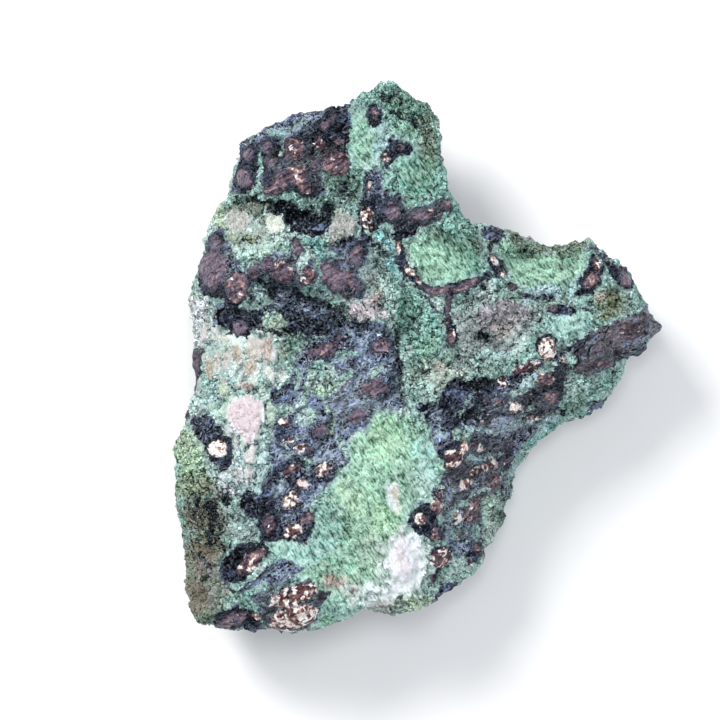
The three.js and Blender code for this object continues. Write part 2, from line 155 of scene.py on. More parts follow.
# Finish builds one material. Colours can be given by their name in its palette.
class Finish:
    def __init__(self, name, palette=None):
        self.palette = palette
        self.material = bpy.data.materials.new(name)
        self.material.use_nodes = True
        self.tree = self.material.node_tree
        self.shader = self.tree.nodes["Principled BSDF"]
        self.place = self.scaled(self.node("ShaderNodeTexCoord", output="Object"), 1 / millimetre)

    def node(self, kind, settings=None, inputs=None, output=0):
        node = self.tree.nodes.new(kind)
        for name, value in (settings or {}).items():
            setattr(node, name, value)
        for key, value in (inputs or {}).items():
            self.plug(node.inputs[key], value)
        return Wire(self, node.outputs[output])

    def plug(self, socket, value):
        if isinstance(value, str):
            value = self.palette[value]
        if isinstance(value, Wire):
            self.tree.links.new(value.socket, socket)
        elif socket.type == "RGBA":
            socket.default_value = (*value, 1)
        else:
            socket.default_value = value

    def attribute(self, name, output="Fac"):
        return self.node("ShaderNodeAttribute", {"attribute_name": name}, output=output)

    def grain(self, scale, detail, roughness, where=None):
        inputs = {"Vector": where or self.place, "Scale": scale}
        inputs.update({"Detail": detail, "Roughness": roughness})
        return self.node("ShaderNodeTexNoise", inputs=inputs, output="Fac")

    def cells(self, scale, where, output="Distance"):
        inputs = {"Vector": where, "Scale": scale}
        return self.node("ShaderNodeTexVoronoi", inputs=inputs, output=output)

    def scaled(self, vector, amount):
        return self.node("ShaderNodeVectorMath", {"operation": "SCALE"}, {0: vector, 3: amount})

    # the place, turned about the upright axis and drawn out
    def stretched(self, turn, stretch):
        inputs = {0: self.place, 2: (0, 0, turn), 3: stretch}
        return self.node("ShaderNodeMapping", {"vector_type": "TEXTURE"}, inputs)

    # the place, moved by noise in all three directions by up to half of reach, in millimetres
    def stirred(self, scale, reach):
        inputs = {"Vector": self.place, "Scale": scale, "Detail": 2.0}
        wander = self.node("ShaderNodeTexNoise", inputs=inputs, output="Color")
        offset = {0: wander, 1: (reach,) * 3, 2: (-reach / 2,) * 3}
        moved = self.node("ShaderNodeVectorMath", {"operation": "MULTIPLY_ADD"}, offset)
        return self.node("ShaderNodeVectorMath", {"operation": "ADD"}, {0: self.place, 1: moved})

    def mix(self, share, first, second, blend="MIX"):
        settings = {"data_type": "RGBA", "blend_type": blend}
        return self.node("ShaderNodeMix", settings, {0: share, 6: first, 7: second}, output=2)

    # colours laid over a base, one after the other: each is a share, a colour and maybe a blend
    def layered(self, base, *layers):
        for share, *layer in layers:
            base = self.mix(share, base, *layer)
        return base

    def surface(self, **inputs):
        for name, value in inputs.items():
            self.plug(self.shader.inputs[name.replace("_", " ")], value)
        return self.material

    def bump(self, height, strength, distance):
        inputs = {"Height": height, "Strength": strength, "Distance": distance * millimetre}
        return self.node("ShaderNodeBump", inputs=inputs)


floorSheet = {"side": 3.0, "colour": (244, 245, 247), "roughness": 0.9}  # the side is in metres


def makeFloor():
    mesh = bpy.data.meshes.new("floor")
    sheet = bmesh.new()
    bmesh.ops.create_grid(sheet, x_segments=1, y_segments=1, size=floorSheet["side"] / 2)
    sheet.to_mesh(mesh)
    sheet.free()
    floor = bpy.data.objects.new("floor", mesh)
    bpy.context.scene.collection.objects.link(floor)
    colour = paint(*floorSheet["colour"])
    finish = Finish("pale floor").surface(Base_Color=colour, Roughness=floorSheet["roughness"])
    mesh.materials.append(finish)


makeFloor()
print("floor made")


# Minerals lie in regions, each one of three shapes. A region's depth at a point is how far
# inside it the point is, in millimetres, and is negative outside.
def oval(x, y, width, height, turn=0):
    return ("oval", (x, y), (width / 2, height / 2), math.radians(turn))


def field(*corners):
    return ("field", np.array(corners, float))


def vein(width, *points):
    return ("vein", np.array(points, float), width)


farAway = 4.0  # depths are not followed further than this outside a region


# how far each point lies along and across a line turned by this angle
def turned(points, turn):
    along = points[:, 0] * math.cos(turn) + points[:, 1] * math.sin(turn)
    across = points[:, 1] * math.cos(turn) - points[:, 0] * math.sin(turn)
    return along, across


def segmentDistance(points, start, end):
    run = end - start
    share = np.clip(((points - start) @ run) / max(run @ run, 1e-9), 0, 1)
    return np.linalg.norm(points - start - share[:, None] * run, axis=1)


def depthIn(region, points):
    kind = region[0]
    depth = np.full(len(points), -farAway)
    if kind == "oval":
        _, centre, half, turn = region
        along, across = turned(points - centre, turn)
        share = np.hypot(along / half[0], across / half[1])
        return np.maximum(depth, (1 - share) * min(half))
    outline = region[1]
    near = np.all((points > outline.min(0) - farAway) & (points < outline.max(0) + farAway), axis=1)
    some = points[near]
    distance = np.full(len(some), farAway)
    if kind == "vein":
        for start, end in zip(outline[:-1], outline[1:]):
            distance = np.minimum(distance, segmentDistance(some, start, end))
        depth[near] = region[2] / 2 - distance
        return depth
    inside = np.zeros(len(some), bool)
    for start, end in zip(outline, np.roll(outline, -1, axis=0)):
        distance = np.minimum(distance, segmentDistance(some, start, end))
        straddles = (start[1] > some[:, 1]) != (end[1] > some[:, 1])
        rise = end[1] - start[1]
        crossing = start[0] + (some[:, 1] - start[1]) * (end[0] - start[0]) / (rise if rise else 1)
        inside ^= straddles & (some[:, 0] < crossing)
    depth[near] = np.where(inside, distance, -distance)
    return depth


def deepest(regions, points):
    depth = np.full(len(points), -farAway)
    for region in regions:
        depth = np.maximum(depth, depthIn(region, points))
    return depth


# Regions that more than one list below uses.
powder = field((-2.9, -25), (-1, -24.9), (0.5, -26), (1.2, -28), (0.8, -31), (0, -33),
    (-2, -33.8), (-4.5, -34.5), (-4, -31), (-3.8, -28.5), (-4.8, -26.8))
whiteChip = oval(-3.2, -19.5, 1.6, 3.6)
leftCrystal = oval(-24.7, 18.9, 4.4, 3.3, -15)
rightCrystal = oval(-10.9, 18.5, 3.8, 3.8)
armRoot = oval(24.6, -1, 7, 2.6, 25)

# Dark ore: the dark rims and bands that the copper-red cores sit in.
oreRegions = [
    # block at the upper left
    field((-26.5, 23.5), (-26.4, 26.4), (-25.2, 29.4), (-24.4, 31.4), (-21, 32.6), (-16.5, 34.4),
        (-13.2, 36), (-9.8, 36.6), (-9.2, 34.5), (-9.8, 29.8), (-9.5, 27), (-11, 25.2), (-13.5, 26),
        (-13, 23.2), (-15.2, 22.2), (-18, 23), (-20.2, 22.5), (-21.5, 22.7), (-22.8, 24.9),
        (-23.5, 22.9), (-25.8, 22.7)),
    oval(-5.9, 33.9, 2.2, 3.2),
    field((-5.2, 27.8), (-4.7, 26.3), (-3.9, 26.4), (-3.5, 27.6), (-0.8, 28.4), (-0.2, 29.4),
        (-2.3, 30.6), (-4.1, 30.9), (-4.4, 28.7)),
    # the crevice under the upper left block: dark ore, partly painted shade
    field((-21, 20.8), (-20, 21.6), (-18.5, 21.8), (-15.5, 20.6), (-14, 20.4), (-12, 19.6),
        (-12.3, 17.8), (-15, 17), (-18.2, 18.4), (-18.6, 19.8)),
    # middle of the top edge
    field((-7.3, 26.2), (-5, 26), (-4.8, 25), (-5.5, 23.8), (-4.8, 23.2), (-2.3, 22.5),
        (-1.8, 20.9), (0.6, 21), (2.2, 21.4), (3.4, 22.3), (4.2, 22.5), (5.2, 20.6), (3.3, 19.5),
        (1.3, 18.3), (-0.5, 17.3), (-2.5, 16), (-3, 17.5), (-3.5, 18.2), (-4.9, 18.7), (-6.8, 17.6),
        (-7.7, 17), (-8.2, 19.5), (-7.9, 21), (-7.5, 24)),
    vein(1.5, (-2.5, 17.5), (-2.6, 15.5), (-2.2, 13.5), (-1.3, 12.2), (-0.5, 11), (0.5, 9.8),
        (2, 9.2), (5, 9.5), (8, 10.4), (10, 11.2)),
    vein(1.2, (4.3, 9.2), (4.2, 7), (4, 5.5), (4.8, 3.5)), oval(4.8, 3, 1.9, 3.4),
    vein(0.35, (0.2, 8.8), (1.5, 7.8), (2.6, 6.5), (3.5, 5.2)), oval(10.7, 17.2, 3, 2.5),
    vein(0.9, (10.6, 17), (10.2, 15.4)), oval(11.2, 12.7, 4.2, 1.9, -55), oval(13.3, 9.8, 1.5, 1.4),
    vein(0.6, (14.5, 8.7), (19, 8.2)), oval(20.2, 6.6, 3.6, 1.6),
    vein(0.3, (21.5, 6.6), (24.5, 6.5)),
    # arm
    field((24.1, 14), (25, 14.3), (26.3, 12), (25.2, 9.6), (24.3, 8.8), (21.9, 7.9), (22.6, 9.8),
        (21.6, 10.4), (23, 11.8), (23.8, 12.8)),
    field((24, 15), (24.5, 16.6), (26, 15.4), (27, 14.1), (28.1, 13), (29.8, 11.8), (30.3, 10),
        (29.5, 8.9), (28.6, 9.7), (26.9, 11.5), (26.3, 12.3), (26.2, 13.8)),
    field((19.8, 0.4), (21, 1.5), (24, 3.3), (28, 5), (30.2, 6), (32.3, 7.4), (33.9, 5),
        (34.6, 3.9), (33, 2.3), (31.2, 0.4), (29, -0.4), (27, -1.6), (24.9, -3), (24, -2.3),
        (22, -2.2), (22.5, 0), (21, 0.9)),
    field((16.6, 2.8), (18.2, 3.4), (19.6, 2.4), (19.5, 0.8), (20.5, 0.4), (20.4, -0.6),
        (17.2, -0.2), (16.6, 1.2)),
    # lower right slope
    field((-0.2, -7.2), (0.4, -6.3), (2.6, -6.9), (3.7, -5.2), (4.3, -3.3), (8.5, -3.1),
        (13.2, -2.6), (16.2, -0.2), (20, 0), (21.5, -1.5), (20.6, -5.2), (19.9, -7.6), (17.5, -10),
        (15, -12.8), (13.3, -16), (12.9, -18), (9.5, -20), (9, -22), (9.8, -28), (8, -29), (6, -28),
        (4.5, -26), (4.2, -22.5), (4, -19.5), (3.3, -18.2), (4.2, -16.1), (2.7, -13.6),
        (2.1, -10.5), (1.3, -9.4)),
    field((24, -6.6), (26.5, -5.8), (27.7, -5.3), (27.4, -6.3), (25.6, -7.6), (24.8, -8.1)),
    field((2.2, -18.4), (3.3, -18.2), (4, -19.5), (3.8, -21), (4.3, -22.5), (4.2, -25.5),
        (2.1, -25.6), (0.2, -25), (-0.7, -24.2), (-0.9, -22.6), (0.4, -20.2), (1.8, -20.4)),
    field((1.6, -27.2), (2.6, -26.4), (5.2, -26.5), (5, -28.5), (3, -30), (2.7, -31.5),
        (1.8, -32.2), (2.3, -29.6), (2.1, -28.5)),
    field((2.3, -33.5), (4.2, -31.8), (6, -32.3), (5.5, -33), (3.8, -34.5), (2.5, -35.1)),
    # middle and left of the face
    field((-17.5, -1), (-17.3, 0.5), (-14.7, 2.3), (-12.5, 3.2), (-11, 4.6), (-7.5, 4.4),
        (-4.2, 4.6), (-3, 2), (-2.2, -1), (-2.3, -5.5), (-1.9, -7.2), (-4, -7), (-5.8, -7.3),
        (-7.3, -9.9), (-10, -12), (-9.6, -14.6), (-12, -17.2), (-14.9, -20.2), (-14.3, -22.9),
        (-15.8, -26.3), (-18.5, -25.4), (-22.1, -26.6), (-22.6, -23), (-24, -22.6), (-25.3, -20.8),
        (-23.9, -18.3), (-22.2, -19.2), (-20.2, -15.3), (-20.8, -12.4), (-19.7, -8.7),
        (-17.6, -7.8), (-20.7, -5.8), (-20, -4.2), (-18, -3.6)),
    field((-32.7, -8.9), (-30.2, -7.7), (-28.9, -8.2), (-27.9, -9.2), (-26.8, -9), (-27.2, -10.3),
        (-25.7, -12.4), (-25.9, -15), (-27.8, -16), (-29.5, -14.5), (-30.3, -12), (-31.8, -10.2)),
    field((-31.6, 1.4), (-29.8, 1.2), (-30, -0.8), (-30.6, -3.2), (-31.7, -3.7)),
    field((-29.2, 17.9), (-27.8, 18.2), (-26.5, 16.3), (-25.5, 13.6), (-23.9, 12.6), (-22, 13.6),
        (-19.6, 15), (-18.6, 14.4), (-17.9, 14.8), (-17.8, 16.7), (-17, 17), (-16, 16.5),
        (-16.3, 14.1), (-17, 12.2), (-16.3, 11.5), (-15.3, 13.8), (-14.2, 13.9), (-13.9, 10.8),
        (-16, 9.6), (-19, 10), (-21.3, 11.2), (-23, 9.6), (-24.8, 7.2), (-22.3, 5.3), (-23.2, 3.6),
        (-23.9, 2.6), (-26, 3.2), (-26.5, 4.3), (-28.8, 4.6), (-28.9, 6.9), (-27.3, 8.2),
        (-30.1, 8.4), (-31, 9.9), (-30.3, 13.6)),
    field((-12.3, 14.9), (-11.8, 15.9), (-9.2, 16.9), (-7.2, 17.2), (-5.3, 14.5), (-6.8, 15.4),
        (-6.9, 12.9), (-8.5, 12.2), (-10.5, 13.6)),
    oval(-10.6, 10.9, 7.4, 5.2, -32),
    # dark streaky slope under the left ledge
    field((-24.5, 6.6), (-22.8, 9.3), (-17.5, 9.5), (-13.7, 8), (-9.3, 4.9), (-7.5, 4.3),
        (-12, 3.2), (-15.6, 2.9), (-19.5, 3.6), (-23, 5.5)),
    # bands along the lower edge
    field((-27.7, -28.8), (-25, -26.4), (-22, -26.1), (-20.4, -27.4), (-22, -29), (-24.3, -31.2),
        (-27.5, -32)),
    field((-22.6, -35.8), (-20.6, -32.9), (-17.5, -31.9), (-15.3, -31.2), (-12.2, -33.2),
        (-14, -36), (-14.3, -37.5), (-17, -38.6), (-20.5, -38.3), (-21.7, -37)),
    field((-28.7, -38.4), (-28.3, -36.3), (-25.5, -34.6), (-22.8, -35.5), (-21.5, -38.6),
        (-26.8, -38.8)),
    field((-25, -33), (-22.5, -30.2), (-19.5, -28.3), (-15.6, -29), (-18, -31), (-21, -33.6),
        (-22, -34.8)),
]

# Bloom and pale rock that shows through the ore.
oreGaps = [
    oval(-22.5, 23.5, 1.6, 1.2), vein(0.6, (-22.3, 23.4), (-22.0, 26), (-22.3, 29)),
    vein(0.4, (-19, 28), (-19, 30.6)), oval(-24, 30.6, 2, 1.2, 20),
    vein(0.7, (-20.8, 31.3), (-18, 32), (-15.8, 33.1)),
    field((-15, -0.9), (-13.5, -0.3), (-12.2, -1), (-11, -3), (-9.9, -1.8), (-9.7, -2.9),
        (-12, -5.2), (-13.5, -5.6), (-16, -4.5)),
    oval(-15.6, -8.4, 2.6, 2.2, 30),
    vein(0.9, (-19, -7.2), (-17.2, -7.4), (-15.9, -6.2), (-15.2, -5)),
    oval(-11.6, -9.5, 1.2, 3.4, -10), vein(0.6, (-11.4, -0.6), (-9.6, 0.6), (-8, 0.4)),
    oval(-5.7, -2, 1.8, 0.9, 20), oval(-9.9, -2.6, 1.8, 1.3), oval(-15, -14.7, 1, 0.9),
    vein(0.5, (-13.4, -5.4), (-12.7, -7.2), (-12.2, -8.6)), oval(-10.2, -12.6, 1.2, 2.6, 15),
    vein(0.5, (-17.2, -1.6), (-16.6, -3.2), (-17.2, -4.6)),
    vein(1.2, (13.6, -5.2), (16.8, -2.2), (18.9, -1.1)),
    vein(0.6, (6.8, -10.2), (10.2, -10.4), (13.2, -9.9), (17.2, -9.1), (19.4, -8.2)),
    vein(0.4, (13.2, -9.8), (15, -8.3)), vein(0.9, (7.4, -14.4), (10.4, -14.1)),
    vein(0.5, (10.4, -14.1), (12.1, -13.6)), vein(0.35, (6, -8), (7.4, -6), (7.6, -5)),
    oval(6.3, -10.8, 2.6, 1.6),
    vein(0.55, (4.3, -22.8), (6.5, -20.3), (10.2, -18.3), (13.2, -16.1)),
    oval(15.6, -3.8, 2.8, 1.9, 35), oval(3.2, -22.6, 0.9, 2.4), oval(-21.5, 8.3, 2.5, 1.4),
    oval(-23.3, 7.2, 2.5, 0.9), oval(-20.2, 5, 3.6, 2.4), vein(0.5, (-22, 4), (-17.5, 3)),
    oval(-22.8, -32.8, 4, 1.1, 30), oval(10.4, -23.5, 1.6, 6),
    vein(0.35, (-13.6, 13.9), (-13.7, 11), (-12.4, 8.9), (-10.4, 7.7), (-8.4, 8)),
    oval(6.7, -24.8, 1.4, 0.9, 30), oval(5.3, -25, 1, 1.6), oval(8.6, -24.6, 1, 2.2, 10),
]

# Smooth crystals, pebbles and powder, without crumbs or pores.
calmRegions = [whiteChip, powder]

# Smooth facets with crisp edges: region, colour, and how pale the rim is.
facets = [
    (field((-25.2, -5.9), (-23.6, -5.2), (-21.8, -6.2), (-21.7, -8.4), (-22.6, -10.6),
        (-23.1, -12.7), (-24.2, -11.4), (-26.7, -8.6), (-26.2, -7)), "pink", 0.8),
    (field((-26.9, 19.3), (-26, 20.4), (-24, 20.2), (-23.4, 19), (-24.2, 17.7),
        (-26, 17.4)), "crystal", 0.3),
    (field((-21.2, 19.4), (-20.2, 20.6), (-18.7, 20), (-18.6, 18), (-19.6, 17.3),
        (-21, 17.8)), "cream", 0.4),
    (field((-12.4, 17.8), (-11.5, 19.6), (-9.6, 19.9), (-8.5, 18.5), (-9, 16.5),
        (-11.4, 16)), "crystal", 0.2),
    (field((-25.8, 1.4), (-25, 1.8), (-24.4, 0.8), (-24.5, -0.9), (-25.4, -1.2),
        (-25.9, 0)), "buff", 0.2),
    (field((-21.7, 2.4), (-20.8, 2.7), (-20.3, 1.4), (-20.6, -0.6), (-21.4, -0.8),
        (-21.8, 0.8)), "beige", 0.2),
    (field((-24.2, -0.8), (-23, -0.4), (-22.3, -1.5), (-22.9, -2.6), (-24, -2.5)), "buff", 0.2),
    (field((-24.8, -3.6), (-23.6, -3.1), (-22.6, -3.8), (-23.2, -4.7),
        (-24.5, -4.6)), "beige", 0.3),
    (field((-29.5, -0.4), (-28.6, 0), (-28, -1.6), (-28.3, -3.1), (-29.2, -3)), "buff", 0.2),
    (field((-21.2, -1.3), (-20.4, -1.2), (-20.1, -2.6), (-20.8, -3.3),
        (-21.3, -2.4)), "cream", 0.3),
    (field((-27.8, -4), (-26.6, -3.9), (-26.1, -5), (-27, -5.6), (-27.9, -5)), "straw", 0.3),
    (oval(-26.8, 2.8, 1.7, 1.2), "cream", 0.2),
]

# Pale grains, longer up the slab than across, each in a thin skin of bloom.
grainyRegion = field((-30.5, 5), (-24.5, 6), (-20, 4), (-18.5, 0), (-19, -6), (-20.6, -12),
    (-22.5, -17), (-26, -18), (-26.8, -10), (-30, -7), (-31, -2))
grainShades = ("beige", "cream", "pink", "straw", "pale mint", "beige")

# Nickeline cores: region, and how bright its metal is, from 0 for tarnished to 1 for fresh; brighter
# cores carry more painted highlight and glint.
coreRegions = [
    (oval(-23.55, 28.2, 1.3, 2), 0.2), (oval(-24.1, 25, 2, 2.8, 10), 0.2),
    (oval(-21, 29.3, 1.5, 2), 0.05), (oval(-20.6, 27.1, 1.4, 1.8), 0.05),
    (oval(-17.1, 29.1, 2.5, 2.9, -20), 0.58), (oval(-18.3, 27.9, 1.4, 1), 0.4),
    (oval(-16.9, 25.6, 2.8, 2.7), 0.53), (oval(-19.1, 24.6, 2, 3.7, -30), 0.4),
    (oval(-20.7, 23.1, 2, 1.6), 0.5), (oval(-15.8, 23.8, 2.4, 1.5, -20), 0.55),
    (oval(-13.7, 29.7, 2.2, 1.8), 0.6), (oval(-13.1, 32.2, 1.8, 1.3, 20), 0.1),
    (oval(-23.9, 30.4, 1.2, 1), 0.1), (oval(-11.3, 27.1, 4.5, 3.6, -40), 0.52),
    (oval(-14.1, 26.9, 1.7, 1.3), 0.3), (oval(-10.9, 30, 1.5, 1), 0.3),
    (oval(-11.9, 33.4, 1.2, 1.6), 0.15), (oval(-5.9, 33.9, 1.1, 1.9), 0.35),
    (oval(-4.55, 27.5, 0.9, 1.7), 0.8), (oval(-2.4, 29.2, 1.3, 1.1), 0.3),
    (oval(-6.55, 23.8, 0.6, 1.4), 0.9), (oval(-6.9, 19.2, 2.1, 3.4, 15), 0.74),
    (oval(-3.55, 20.3, 2.2, 2.6), 0.1), (oval(0.5, 19.6, 3.4, 1.6, 12), 0.15),
    (oval(1.9, 20.4, 1.2, 0.5, 20), 0.8), (oval(3.9, 21.4, 1.8, 1.2, 30), 0.3),
    (oval(-2.8, 15.3, 1, 2), 0.8), (oval(-1.06, 12, 0.9, 2, 40), 0.9),
    (oval(0.2, 10.3, 0.7, 1.4, 50), 0.6),
    (vein(1.0, (1.4, 9.3), (3.5, 9.1), (6, 9.6), (8, 10.5)), 0.32),
    (vein(0.8, (4.3, 8.6), (4.2, 6.4), (4.1, 5)), 0.3), (oval(4.7, 2.8, 1.3, 2.6), 0.5),
    (oval(10.7, 13.5, 0.9, 1.6, 30), 1.0), (oval(11.7, 11.8, 0.8, 1.4, 20), 0.95),
    (oval(13.3, 9.8, 0.9, 0.9), 0.3), (oval(18.9, 6.9, 1.6, 0.9), 0.25),
    (oval(24.2, 10.6, 2.6, 1.6, 50), 0.5), (oval(25.2, 12.8, 1.2, 2.2), 0.6),
    (oval(29, 10.8, 1.6, 2.6, 20), 0.15), (oval(18.2, 0.9, 2.1, 3.3), 0.88),
    (oval(20.3, -0.4, 1.2, 0.9), 0.9), (oval(15.1, -1.5, 4.2, 1.5, 25), 0.7),
    (oval(11.8, -3.8, 2, 1.6), 0.75), (oval(17.8, -3, 2.6, 1.7, 20), 0.6),
    (oval(18.6, -5.5, 2, 2), 0.45), (oval(13.8, -7.1, 2.3, 1.6, -25), 1.0),
    (oval(16.5, -8.5, 2.6, 0.8, 15), 0.7), (oval(20.9, -3.6, 0.7, 2.4), 0.6),
    (oval(9.5, -6, 1.2, 0.8), 0.5), (oval(11.1, -6.2, 1.3, 0.8), 0.4),
    (oval(6.3, -12.6, 1, 2.3, -10), 0.9), (oval(8.3, -12.5, 1.9, 1.5), 0.7),
    (oval(4.9, -14.2, 2.6, 2.7), 0.75), (oval(5.6, -15.3, 1.2, 0.9), 0.4),
    (oval(8.9, -15.8, 3.4, 1.5, 20), 0.75), (oval(10.6, -14.8, 1.1, 1.5), 0.9),
    (oval(6.8, -17.8, 2.6, 1.8, 25), 0.85), (oval(12.5, -14.5, 1.2, 1.6), 0.4),
    (oval(11.2, -17, 1.2, 2, -20), 0.4), (oval(25.9, -0.85, 1.8, 0.9, 20), 0.6),
    (oval(5.6, -22.5, 0.9, 1.7, -15), 0.9), (oval(7.6, -21.4, 1.9, 4.6, -15), 0.55),
    (oval(10.8, -17.6, 1.8, 3, -20), 0.55), (oval(6.2, -24.9, 1, 0.8), 0.7),
    (oval(8.2, -26.8, 1.2, 0.9), 0.6), (oval(7.3, -28.9, 1.2, 0.9), 0.5),
    (oval(9.2, -28.4, 0.8, 0.8), 0.7), (oval(0.5, -22.6, 1.3, 1.7), 0.85),
    (oval(2.7, -20.9, 2, 2.2, 20), 0.6), (oval(2.9, -19.3, 1, 1.4), 0.6),
    (oval(2.4, -24.6, 1.2, 2.2), 0.6), (oval(3.2, -28.1, 3.2, 2.8), 0.7),
    (oval(2, -31.3, 0.5, 1.6), 0.5), (oval(-13.3, 0.9, 4.8, 1.9, 15), 0.4),
    (oval(-10.9, 2.6, 1.2, 1.4), 0.3), (oval(-5, 1.5, 2.8, 2.2, 20), 0.4),
    (oval(-18.7, -9.1, 1.7, 1.4), 0.7), (oval(-16.3, -12.8, 2, 1.3, 15), 0.85),
    (oval(-18.1, -11.6, 1.3, 1), 0.7), (oval(-17.8, -15.8, 3, 1.3, 25), 0.6),
    (oval(-16, -17.6, 1.8, 1.8, 20), 0.6), (oval(-13, -15.8, 2.5, 1.6, 20), 0.75),
    (oval(-17.8, -20, 2.6, 2.2, 20), 0.8), (oval(-20.8, -23.2, 1.8, 2.8), 0.45),
    (oval(-15.4, -12.8, 1, 1.4), 0.2), (oval(-17.4, -24.3, 2.7, 1.8, 20), 0.8),
    (oval(-15.4, -22.6, 2.4, 1.5, 20), 0.35), (oval(-6, -4.3, 4.2, 2.6, 15), 0.2),
    (oval(-13.4, -10.3, 2.2, 1.9, 20), 0.05), (oval(-8.5, -8.2, 2.8, 1.7, 20), 0.15),
    (oval(-28, -12.9, 2.5, 2.4), 1.0), (oval(-28.4, 12.2, 3.9, 5.4, -8), 0.15),
    (oval(-25.2, 9.7, 3.1, 4.2, -20), 0.45), (oval(-22.7, 12, 2, 2.1), 0.2),
    (oval(-18.9, 11.8, 2.9, 3.3, 20), 0.4), (oval(-21, 13, 1.7, 2), 0.1),
    (oval(-28.1, 15.8, 1.6, 2.2), 0.15), (oval(-24.7, 4, 2.2, 2.2), 0.1),
    (oval(-16.9, 15.3, 1.5, 2.4), 0.12), (oval(-15.3, 11.2, 2.2, 2.8), 0.6),
    (oval(-8.6, 14, 1.9, 2.7, -20), 0.15),
    (field((-13.3, 13.4), (-12.3, 13), (-9.3, 11.6), (-7.9, 9.6), (-8.9, 8.6), (-10.3, 8.1),
        (-12.6, 9.8), (-13.6, 12.3)), 0.15),
    (oval(-23.2, -28.6, 5.2, 2.5, 42), 0.62), (oval(-17.2, -33.2, 7, 2.4, 20), 0.78),
    (oval(-17.4, -36.3, 7, 3.2, 15), 0.82), (oval(-26, -36.7, 4.5, 1.8, 20), 0.3),
    (oval(-22.7, -36.4, 1.3, 1.1), 0.9), (oval(30.9, 4.1, 1.4, 0.6, 35), 0.5),
    (oval(-31, -0.8, 0.9, 3.2), 0.15),
]

# Black hollows, cracks and shadowed gaps, painted near black, partly as dark mineral and partly as
# painted shade; and how deep each goes.
pitRegions = [
    (vein(1.1, (-20.6, 21), (-18.6, 20.8), (-15.6, 19.9), (-13, 19)), 0.9),
    (vein(0.5, (-25.5, 21.9), (-23.4, 21.9), (-21, 21.3)), 0.6),
    (vein(0.6, (-18, 19), (-15, 17.9)), 0.4),
    (field((-22.2, 10.7), (-21.3, 11.1), (-19.3, 10.3), (-17.3, 9.6), (-19.5, 9.2), (-20.2, 8.4),
        (-21, 9.7)), 0.9),
    (oval(-3.9, 36.7, 3, 1.3, -10), 1.2), (oval(-1.4, 33.8, 4.6, 1.2, -18), 1.0),
    (vein(0.4, (-19.6, 27.6), (-19.6, 31)), 0.5),
    (vein(0.5, (-14.9, 28.5), (-14.6, 31), (-14.9, 33)), 0.6),
    (vein(0.3, (-9.9, 28.8), (-9.8, 33.5)), 0.5), (vein(0.4, (-12.8, 28.8), (-9.8, 29.2)), 0.4),
    (oval(-6.2, 18.7, 1.3, 2.8, 15), 0.8), (oval(-9.9, 9, 2.2, 1.1, 20), 0.5),
    (oval(20.6, -7.9, 1.2, 1), 0.8), (oval(1.3, -2.2, 1.8, 0.7, 30), 0.7),
    (oval(-12.1, -8, 1, 1), 0.5), (oval(-12.3, -11.3, 1.2, 1), 0.5),
    (oval(-11.9, -9.8, 0.6, 1.4, -15), 0.4), (oval(16.2, -6.2, 1.8, 0.9, 20), 0.6),
    (oval(-25.5, -28.5, 2, 1.3, 30), 0.8), (oval(-23.4, -37.4, 1.2, 1.2), 0.6),
    (vein(0.9, (-29.4, -20.6), (-28.6, -22.3), (-29.4, -24.4), (-28.8, -26.4)), 0.8),
    (vein(0.6, (-31.6, -19), (-30.8, -21.4), (-31.4, -23)), 0.5),
    (oval(-26.9, -19.9, 1.4, 1.6, 20), 0.5),
    (vein(0.4, (-27.6, -23.6), (-28.2, -25.4), (-26.8, -27)), 0.6),
    (vein(0.4, (-30.8, -27.6), (-29.6, -29), (-30.2, -31.4)), 0.5),
    (oval(-23.2, -20.4, 3.4, 1.4, -20), 0.5), (oval(7.4, -3.6, 4, 0.7, 5), 0.6),
    (oval(9.9, -4.6, 1.4, 0.8), 0.4), (vein(0.5, (-2.9, 4), (-2.5, 0), (-2.2, -6)), 0.7),
    (vein(0.35, (-25, 16.7), (-22.5, 16.2)), 0.4), (oval(-10.7, 16.3, 3, 0.8, 15), 0.7),
    (vein(0.6, (-6.4, 16.6), (-5.4, 15.2), (-4.6, 14.6)), 0.7), (oval(9.45, 9.4, 1, 1.4), 0.4),
    (oval(-10.2, 23.6, 1.2, 1.8, -30), 0.5), (oval(-12.6, 20.6, 1.7, 2), 0.8),
    (oval(9, 2.6, 2.2, 1.1), 0.5),
    (vein(1.0, (-17.5, 9), (-13.5, 7.4), (-10, 5.4), (-7.6, 4)), 0.6),
    (vein(1.7, (-18, 6.2), (-15, 5), (-11.6, 3.8)), 0.5),
    (vein(0.6, (-23.4, 5.3), (-21.8, 3.9), (-18.7, 3.1), (-14.5, 2.6)), 0.4),
    (vein(0.7, (-9.4, 4.6), (-8.2, 3.8), (-7, 5)), 0.4),
    (vein(0.5, (8, -8.2), (13, -8), (17, -7)), 0.5), (vein(0.35, (9, -11.8), (14.5, -11.4)), 0.4),
    (vein(0.4, (5.2, -20), (9.5, -16.2)), 0.4),
    (vein(0.45, (2.6, -6.6), (6, -8.5), (9.6, -7.4)), 0.4), (oval(12.4, -18.2, 0.7, 2.5), 0.4),
    (oval(8.2, 19, 1.3, 0.9), 0.4),
]

# Colours of the bloom, the crystals and the grey rock.
shades = {
    "mint": paint(160, 198, 195), "pale mint": paint(198, 218, 216), "apple": paint(157, 195, 177),
    "light apple": paint(180, 216, 196), "leaf": paint(100, 140, 122),
    "dark leaf": paint(44, 74, 62), "turquoise": paint(144, 208, 211), "sea": paint(138, 190, 180),
    "pale blue": paint(176, 200, 214), "cream": paint(204, 210, 202), "beige": paint(180, 164, 158),
    "pink": paint(209, 196, 202), "white": paint(232, 233, 241), "grey": paint(148, 158, 160),
    "dark grey": paint(98, 106, 108), "lilac": paint(158, 152, 162), "olive": paint(100, 98, 74),
    "crystal": paint(174, 176, 173), "straw": paint(186, 206, 180), "slate": paint(118, 126, 148),
    "rock": paint(120, 108, 98), "lime": paint(172, 208, 176), "buff": paint(178, 172, 158),
    "moss": paint(134, 144, 108), "umber": paint(100, 86, 70),
}

